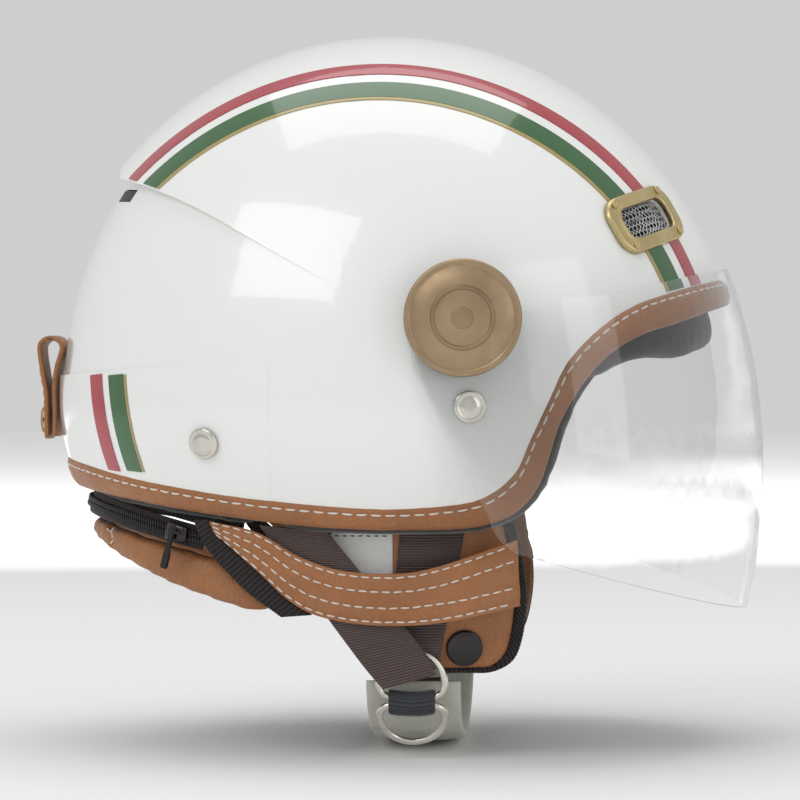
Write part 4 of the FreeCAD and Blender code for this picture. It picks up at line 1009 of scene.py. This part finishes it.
STITCH_INSETS = (0.0016, 0.0074)
BAND_WIDTH = 0.0215
for side, word in SIDES:
    def flap_bulge(s, t):
        return 0.0011 * (math.sin(math.pi * s) * math.sin(math.pi * t)) ** 0.6 + 0.0002 * noise.noise(
            Vector((s * 5, t * 4, side * 3.0)))

    flap = ribbon("ear_flap_leather_" + word, FLAP_FRONT, FLAP_REAR, *FLAP_LAYER, LEATHER, side, 90, 40, flap_bulge)
    declare("ear_flap_" + word)

    def piping_ribs(s, t):
        return 0.00022 * math.sin(2 * math.pi * (t * 62 + s * 2.2))

    piping = ribbon("flap_binding_" + word, PIPE_EDGE, PIPE_INNER, *PIPING_LAYER, BINDING, side, 560, 12,
                    piping_ribs, power=2.4)
    declare("flap_piping_" + word)
    flap_lining = ribbon("ear_flap_lining_" + word, LINING_FRONT, LINING_REAR, *LINING_LAYER, LEATHER_DARK,
                         side, 70, 30, power=4.0)
    declare("flap_lining_" + word)

    def band_form(s, t):
        width = 0.021
        near = min(s, 1 - s) * width
        dents = sum(math.exp(-((near - inset) / 0.0006) ** 2) for inset in STITCH_INSETS)
        puffed = 0.0005 * math.sin(math.pi * min(max((near - 0.0016) / 0.0066, 0), 1))
        return puffed - 0.0003 * dents + 0.00035 * noise.noise(Vector((s * 2.0, t * 9.0, side * 2.0)))

    strip = ribbon("cheek_band_leather_" + word, BAND_TOP, BAND_LOW, *BAND_LAYER, LEATHER, side, 260, 46, band_form,
                   BAND_POWER)
    declare("cheek_band_" + word)
    for number, inset in enumerate(STITCH_INSETS):
        for edge, near, far in (("top", BAND_TOP, BAND_LOW), ("low", BAND_LOW, BAND_TOP)):
            stitch_line(f"cheek_band_stitches_{edge}_{number}_{word}",
                        band_path(near, far, inset, side, band_form, edge == "low"), 0.0044, 0.0033, 0.00028)

    def web_ribs(pitches):
        return lambda s, t: 0.00010 * math.sin(2 * math.pi * t * pitches)

    front_leg = ribbon("webbing_front_" + word, *FRONT_LEG, *FRONT_LEG_LAYER, WEBBING, side, 300,
                       bulge=web_ribs(45))
    declare("strap_front_leg_" + word)
    rear_leg = ribbon("webbing_rear_" + word, *REAR_LEG, *REAR_LEG_LAYER, WEBBING, side, 420, bulge=web_ribs(64))
    declare("strap_rear_leg_" + word)
    binding = ribbon("gusset_binding_cloth_" + word, *GUSSET_EDGE, *GUSSET_EDGE_LAYER, BINDING, side, 300, 12,
                     lambda s, t: 0.0001 * math.sin(2 * math.pi * (t * 36 + s * 3)))
    declare("gusset_binding_" + word)

label = ribbon("care_label_cloth", *LABEL_EDGES, *LABEL_LAYER, LABEL, RIGHT, 24, 20)
declare("care_label")
stitch_line("care_label_stitches", [skirt_point(x * MM, -0.0505, RIGHT, -0.0043) for x in range(-17, 6)],
            0.0030, 0.0018, 0.0002, material=LINER)

# Webbing sleeve round both ring bars.
loop_low, loop_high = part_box("ring_loop")
loop_centre = (loop_low + loop_high) / 2
loop_half = (loop_high - loop_low) / 2
rings, uvs = [], []
for number in range(70):
    x = loop_low.x + 2 * loop_half.x * number / 69
    edge = min(number, 69 - number) / 3
    tuck = 0.94 if edge < 1 else 1.0
    ring = []
    for corner, angle in enumerate(circle(48)):
        s, t = superellipse(angle, 2.6)
        fold = 1.0 + 0.035 * math.sin(angle * 3 + x * 260) + 0.03 * noise.noise(Vector((x * 150, s * 2, t * 2)))
        y = loop_centre.y + s * loop_half.y * fold * tuck
        z = loop_centre.z + t * loop_half.z * fold * tuck - 0.0011 * math.sin(math.pi * number / 69)
        ring.append(Vector((x, y, z)))
        uvs.append((x, corner * 0.0005))
    rings.append(ring)
sleeve = tube_rings(rings, "ring_sleeve", SATIN, uvs=uvs)
declare("ring_loop")


def chin_point(angle, lift, half_left, half_right, depth, top):
    reach = half_left if math.cos(angle) > 0 else half_right
    y = math.cos(angle) * (reach - lift)
    z = -top - math.sin(angle) * (depth - lift)
    return y * MM, z * MM


def chin_strip(name, half_left, half_right, depth, top, wall, low_x, high_x, material, power, stations, wave=0.0):
    rings, uvs = [], []
    for number in range(stations):
        angle = math.pi * number / (stations - 1)
        outer = chin_point(angle, 0, half_left, half_right, depth, top)
        inner = chin_point(angle, wall, half_left, half_right, depth, top)
        ring = []
        for s, t in oval(32, power):
            x = ((low_x + high_x) / 2 + s * (high_x - low_x) / 2) * MM
            part = 0.5 - t / 2
            swell = wave * noise.noise(Vector((x * 90, angle * 7, 0)))
            ring.append(Vector((x, outer[0] + (inner[0] - outer[0]) * part, outer[1] + (inner[1] - outer[1]) * part
                                - swell * (1 if t > 0 else 0))))
            uvs.append((x, angle * 0.08))
        rings.append(ring)
    return tube_rings(rings, name, material, uvs=uvs)


chin = chin_strip("chin_cushion", 84.0, 77.0, 29.0, 106.0, 6.2, -5.0, 31.0, GREY_PAD, 3.4, 120, 0.0008)
declare("chin_pad")
strap = chin_strip("chin_webbing", 81.5, 74.5, 26.5, 104.6, 1.4, 0.6, 25.4, WEBBING, 8.0, 160)
declare("chin_strap")

# ---------------------------------------------------------------- zip, gusset and neck roll

ZIP_TILT = math.radians(13.4)
ZIP_CENTRE = Vector((-0.032, 0.0, -0.060))
ZIP_RADIUS = 0.0895
zip_out = Matrix.Rotation(ZIP_TILT, 3, "Y")


def zip_point(angle, radius, height):
    """Point about the zip's tilted axis. Angle 0 is the back and positive angles go to the right."""
    return ZIP_CENTRE + zip_out @ Vector((-radius * math.cos(angle), -radius * math.sin(angle), height))


def zip_direction(angle):
    return zip_out @ Vector((-math.cos(angle), -math.sin(angle), 0))


ZIP_HALF = math.radians(67)
TAPE_HALF = 0.0044
TAPE_HALF_THICK = 0.00045
up = zip_out @ Vector((0, 0, 1))


def turns_of(half, steps):
    """Evenly spaced angles round the zip's axis, from -half to half."""
    return [-half + 2 * half * number / steps for number in range(steps + 1)]


rings, uvs = [], []
for angle in turns_of(ZIP_HALF, 240):
    corners = oval(20, 5.0)
    rings.append([zip_point(angle, ZIP_RADIUS - TAPE_HALF_THICK + t * TAPE_HALF_THICK, s * TAPE_HALF)
                  for s, t in corners])
    uvs += [(s * TAPE_HALF, angle * ZIP_RADIUS) for s, _ in corners]
tape = tube_rings(rings, "zip_cloth_tape", TAPE, uvs=uvs)
declare("zip_tape")

# Two interlocked coils.
COIL_PITCH = 0.0013
COIL_HALF_HEIGHT = 0.00105
COIL_HALF_DEPTH = 0.00045
COIL_WIRE = 0.00034
COIL_STEPS = 10
verts, faces = [], []
coil_steps = int(2 * ZIP_HALF * ZIP_RADIUS / COIL_PITCH) * COIL_STEPS
for row, sign in enumerate((1, -1)):
    rings = []
    for number, angle in enumerate(turns_of(ZIP_HALF, coil_steps)):
        phase = 2 * math.pi * number / COIL_STEPS + row * math.pi
        centre = zip_point(angle, ZIP_RADIUS + 0.00085 + COIL_HALF_DEPTH * math.sin(phase),
                           sign * COIL_HALF_HEIGHT + COIL_HALF_HEIGHT * math.cos(phase))
        out = zip_direction(angle)
        along = out.cross(up)
        rings.append([centre + (along * math.cos(turn) + out * math.sin(turn)) * COIL_WIRE for turn in circle(5)])
    add_tube(verts, faces, rings)
coils = make_object("zip_coils", verts, faces, ZIPPER)
declare("zip_teeth")

# Ribbed gusset between the zip and the rim.
GUSSET_OUT, GUSSET_IN, GUSSET_LOW = 0.0868, 0.0856, 0.0048
GUSSET_SAG = 0.0010
RIB_PITCH = 0.0021
trim_low = mm(TRIM_LOW)
rings = []
for angle in turns_of(ZIP_HALF, 400):
    high = 0.0255
    for _ in range(30):
        point = zip_point(angle, 0.0861, high)
        if point.z <= curve_value(trim_low, point.x) + 0.0005:
            break
        high -= 0.0006
    rib = 0.00022 * math.sin(2 * math.pi * angle * 0.087 / RIB_PITCH)
    ring = []
    for radius, shares in ((GUSSET_OUT + rib, range(12)), (GUSSET_IN, range(11, -1, -1))):
        for share in shares:
            t = share / 11
            ring.append(zip_point(angle, radius - GUSSET_SAG * math.sin(math.pi * t),
                                  GUSSET_LOW + (high - GUSSET_LOW) * t))
    rings.append(ring)
gusset = tube_rings(rings, "neck_gusset_cloth", RIBBED_CLOTH)
declare("neck_gusset")

# Neck roll.
ROLL_LOW = mm(((-150, -48), (-117, -54), (-106, -59), (-93, -65), (-78, -71), (-62, -76), (-45, -81), (-20, -84)))
ROLL_HALF = math.radians(88)
ROLL_OUT, ROLL_IN = 0.0868, 0.0777
ROLL_TOP = -0.0056
ROLL_STEPS = 120
SEAM_TURN = math.radians(26)
SEAM_RADIUS = 0.0875


def roll_bottom(angle):
    """Height of the roll's lower edge about the zip's axis."""
    height = ROLL_TOP
    while height > -0.06:
        point = zip_point(angle, (ROLL_OUT + ROLL_IN) / 2, height)
        if point.z < curve_value(ROLL_LOW, point.x):
            break
        height -= 0.0004
    return height


rings = []
for number, angle in enumerate(turns_of(ROLL_HALF, ROLL_STEPS)):
    low = roll_bottom(angle) + 0.0008
    ends = min(number, ROLL_STEPS - number) / 7
    size = math.sqrt(max(1 - (1 - min(ends, 1.0)) ** 2, 0.04))
    top = ROLL_TOP - 0.010 * (1 - min(ends / 1.6, 1.0))
    half_height = (top - low) / 2
    rings.append([zip_point(angle, (ROLL_OUT + ROLL_IN) / 2 + s * (ROLL_OUT - ROLL_IN) / 2 * max(size, 0.35),
                            (top + low) / 2 + t * half_height * size) for s, t in oval(36, 3.0)])
roll = tube_rings(rings, "neck_roll_leather", LEATHER)
puff(roll, 0.0011)
for side, word in SIDES:
    turn = -side * SEAM_TURN
    seam_points = [zip_point(turn - side * 0.10 * math.sin(math.pi * 0.5 * t), SEAM_RADIUS,
                             ROLL_TOP + 0.001 + (roll_bottom(turn) - ROLL_TOP) * t)
                   for t in (number / 60 for number in range(61))]
    dent(roll, [point for point, _ in snapped(roll, seam_points, 0.0)], 0.0011, 0.0014)
    stitch_line("neck_roll_seam_" + word, snapped(roll, seam_points), 0.0042, 0.0032, 0.00030)
declare("neck_roll")

# Slider and pull.
SLIDER_TURN = math.radians(60)
SLIDER_LENGTH = 0.0088
rings = []
for number in range(25):
    part = number / 24
    angle = SLIDER_TURN + (part - 0.5) * SLIDER_LENGTH / ZIP_RADIUS
    waist = 0.0036 - 0.0008 * part ** 2
    crown = 0.0020 + 0.0022 * math.sin(math.pi * min(max(part, 0.06), 0.94)) ** 0.35
    rings.append([zip_point(angle, ZIP_RADIUS + 0.00045 + (t + 1) / 2 * crown, s * waist)
                  for s, t in oval(28, 3.4)])
slider = tube_rings(rings, "zip_slider_body", ENAMEL, body="slider")
declare("zip_slider")
slider_out = zip_direction(SLIDER_TURN)
slider_along = slider_out.cross(up)
rings = []
for number in range(17):
    a = math.pi * number / 16
    centre = (zip_point(SLIDER_TURN, ZIP_RADIUS + 0.0042, 0)
              + slider_along * math.cos(a) * 0.0026 + slider_out * math.sin(a) * 0.0013)
    out = slider_along * math.cos(a) + slider_out * math.sin(a)
    rings.append([centre + (out * math.cos(t) + up * math.sin(t)) * 0.0006 for t in circle(12)])
bridge = tube_rings(rings, "zip_slider_bridge", ENAMEL, body="slider")

PULL_HALF_THICK = 0.0005
pull_top = zip_point(SLIDER_TURN, ZIP_RADIUS + 0.0056, 0)
pull_outline = [(-0.0012, 0.0014), (0.0012, 0.0014), (0.0017, 0.0008), (0.0012, -0.003), (0.0011, -0.006),
                (0.0017, -0.009), (0.0017, -0.0135), (0.0012, -0.0144), (-0.0012, -0.0144), (-0.0017, -0.0135),
                (-0.0017, -0.009), (-0.0011, -0.006), (-0.0012, -0.003), (-0.0017, 0.0008)]
work = bmesh.new()
fronts, backs = ([work.verts.new(pull_top + slider_along * x + up * z + slider_out * depth) for x, z in pull_outline]
                 for depth in (PULL_HALF_THICK, -PULL_HALF_THICK))
work.faces.new(fronts)
work.faces.new(backs[::-1])
for number in range(len(fronts)):
    after = (number + 1) % len(fronts)
    work.faces.new((fronts[number], backs[number], backs[after], fronts[after]))
bmesh.ops.recalc_face_normals(work, faces=work.faces)
flat_edges = [edge for edge in work.edges
              if abs((edge.verts[0].co - edge.verts[1].co).normalized().dot(slider_out)) < 0.5]
bmesh.ops.bevel(work, geom=flat_edges, offset=0.0003, segments=2, affect="EDGES")
pull_mesh = bpy.data.meshes.new("zip_pull_tab")
work.to_mesh(pull_mesh)
work.free()
pull_mesh.materials.append(ENAMEL)
pull = add_object("zip_pull_tab", pull_mesh, "pull_tab")
declare("zip_pull")

# ---------------------------------------------------------------- goggle loop

LOOP_X, LOOP_Z, LOOP_R = -135.3, 20.5, 4.5
STRIP_WALL, STRIP_WIDTH, STRIP_STATIONS = 2.2, 19.8, 90
STITCH_Y = 0.0083


def arc(degrees):
    return [(LOOP_X + LOOP_R * math.cos(math.radians(a)), LOOP_Z + LOOP_R * math.sin(math.radians(a)))
            for a in degrees]


def leather_strip(name, points, node, body):
    """A strip in the middle plane along side view points in millimetres, and the line it follows."""
    path = spline(mm(points), STRIP_STATIONS)
    rings = []
    for number, point in enumerate(path):
        before, after = path[max(number - 1, 0)], path[min(number + 1, len(path) - 1)]
        along = Vector((after[0] - before[0], 0, after[1] - before[1])).normalized()
        out = Vector((-along.z, 0, along.x))
        ends = min(number, STRIP_STATIONS - 1 - number) / 4
        narrow = 1.0 if ends >= 1 else math.sqrt(max(1 - (1 - ends) ** 2, 0.2))
        taper = min(narrow + 0.25, 1.0) if body == "goggle_flap" else 1.0
        ring = []
        for s, t in oval(40, 4.5):
            place = Vector((point[0], s * STRIP_WIDTH / 2 * MM * taper, point[1]))
            ring.append(place + out * (t * STRIP_WALL / 2 * MM * (0.7 + 0.3 * narrow) + ripple(place, 120, 0.00012)))
        rings.append(ring)
    strip = tube_rings(rings, name, LEATHER, body)
    declare(node)
    return strip, path


inner_points = [(-133.75, -14.5), (-133.75, -4), (-133.9, 6), (-132.8, 13.6)] + arc((0, 45, 82))
outer_points = arc((98, 135, 180)) + [(-138.6, 11), (-137.2, 3), (-137.0, -5), (-137.0, -15.5)]
leather_strip("goggle_strap_leather", inner_points, "loop_strap", "shell")
outer_strip, outer_line = leather_strip("goggle_flap_leather", outer_points, "loop_flap", "goggle_flap")
for word, y in (("right", -STITCH_Y), ("left", STITCH_Y)):
    stitch_line("goggle_flap_stitches_" + word,
                snapped(outer_strip, [Vector((x - 0.004, y, z)) for x, z in outer_line[30:86]]),
                0.0042, 0.0030, 0.00028, body="goggle_flap")
cap_inner_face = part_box("loop_snap_cap")[1].x
cap = lathe("goggle_snap", rounded_disc(0.0052, 0.0, 0.0015, 0.0008, 0.0005), Vector((cap_inner_face, 0, -0.008)),
            Vector((-1, 0, 0)), BRONZE, body="goggle_flap")
declare("loop_snap_cap")

# ---------------------------------------------------------------- visor with a painted highlight on its cut edges

EDGE_AREA = 0.0016
EDGE_FLANK = 0.6
glass_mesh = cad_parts["visor_shield"].data.copy()
glass_mesh.name = "visor_glass"
glass_mesh.materials.clear()
glass_mesh.materials.append(CLEAR)
glass_mesh.materials.append(VISOR_EDGE_HIGHLIGHT)
work = bmesh.new()
work.from_mesh(glass_mesh)
# The mesh is split at the sheet's creases. A narrow island that doesn't face sideways is part of the cut edge, which
# gets the opaque pale painted highlight instead of clear sheet.
left_to_see = set(work.faces)
islands = []
while left_to_see:
    seed = left_to_see.pop()
    island = [seed]
    stack = [seed]
    while stack:
        face = stack.pop()
        for edge in face.edges:
            for other in edge.link_faces:
                if other in left_to_see:
                    left_to_see.discard(other)
                    island.append(other)
                    stack.append(other)
    islands.append(island)
for island in islands:
    area = sum(face.calc_area() for face in island)
    flank = sum(abs(face.normal.y) * face.calc_area() for face in island) / area
    for face in island:
        face.material_index = 1 if area < EDGE_AREA and flank < EDGE_FLANK else 0
        face.smooth = True
work.to_mesh(glass_mesh)
work.free()
glass = add_object("visor_glass", glass_mesh, "visor")
declare("visor_shield")

# ---------------------------------------------------------------- finishes of the CAD nodes that keep their shape

KEPT = (("outer_shell", WHITE), ("rear_vent_grille", BLACK), ("eps_liner", FOAM), ("stripe_red", RED),
        ("stripe_green", GREEN), ("stripe_gold", GOLD), ("band_stripe_red", RED), ("band_stripe_green", GREEN),
        ("band_stripe_gold", GOLD), ("pivot_base_right", BLACK), ("pivot_base_left", BLACK),
        ("pivot_washers", BLACK), ("pivot_screws", NICKEL), ("ring_lower", NICKEL), ("ring_upper", NICKEL))
for name, material in KEPT:
    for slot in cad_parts[name].material_slots:
        slot.material = material
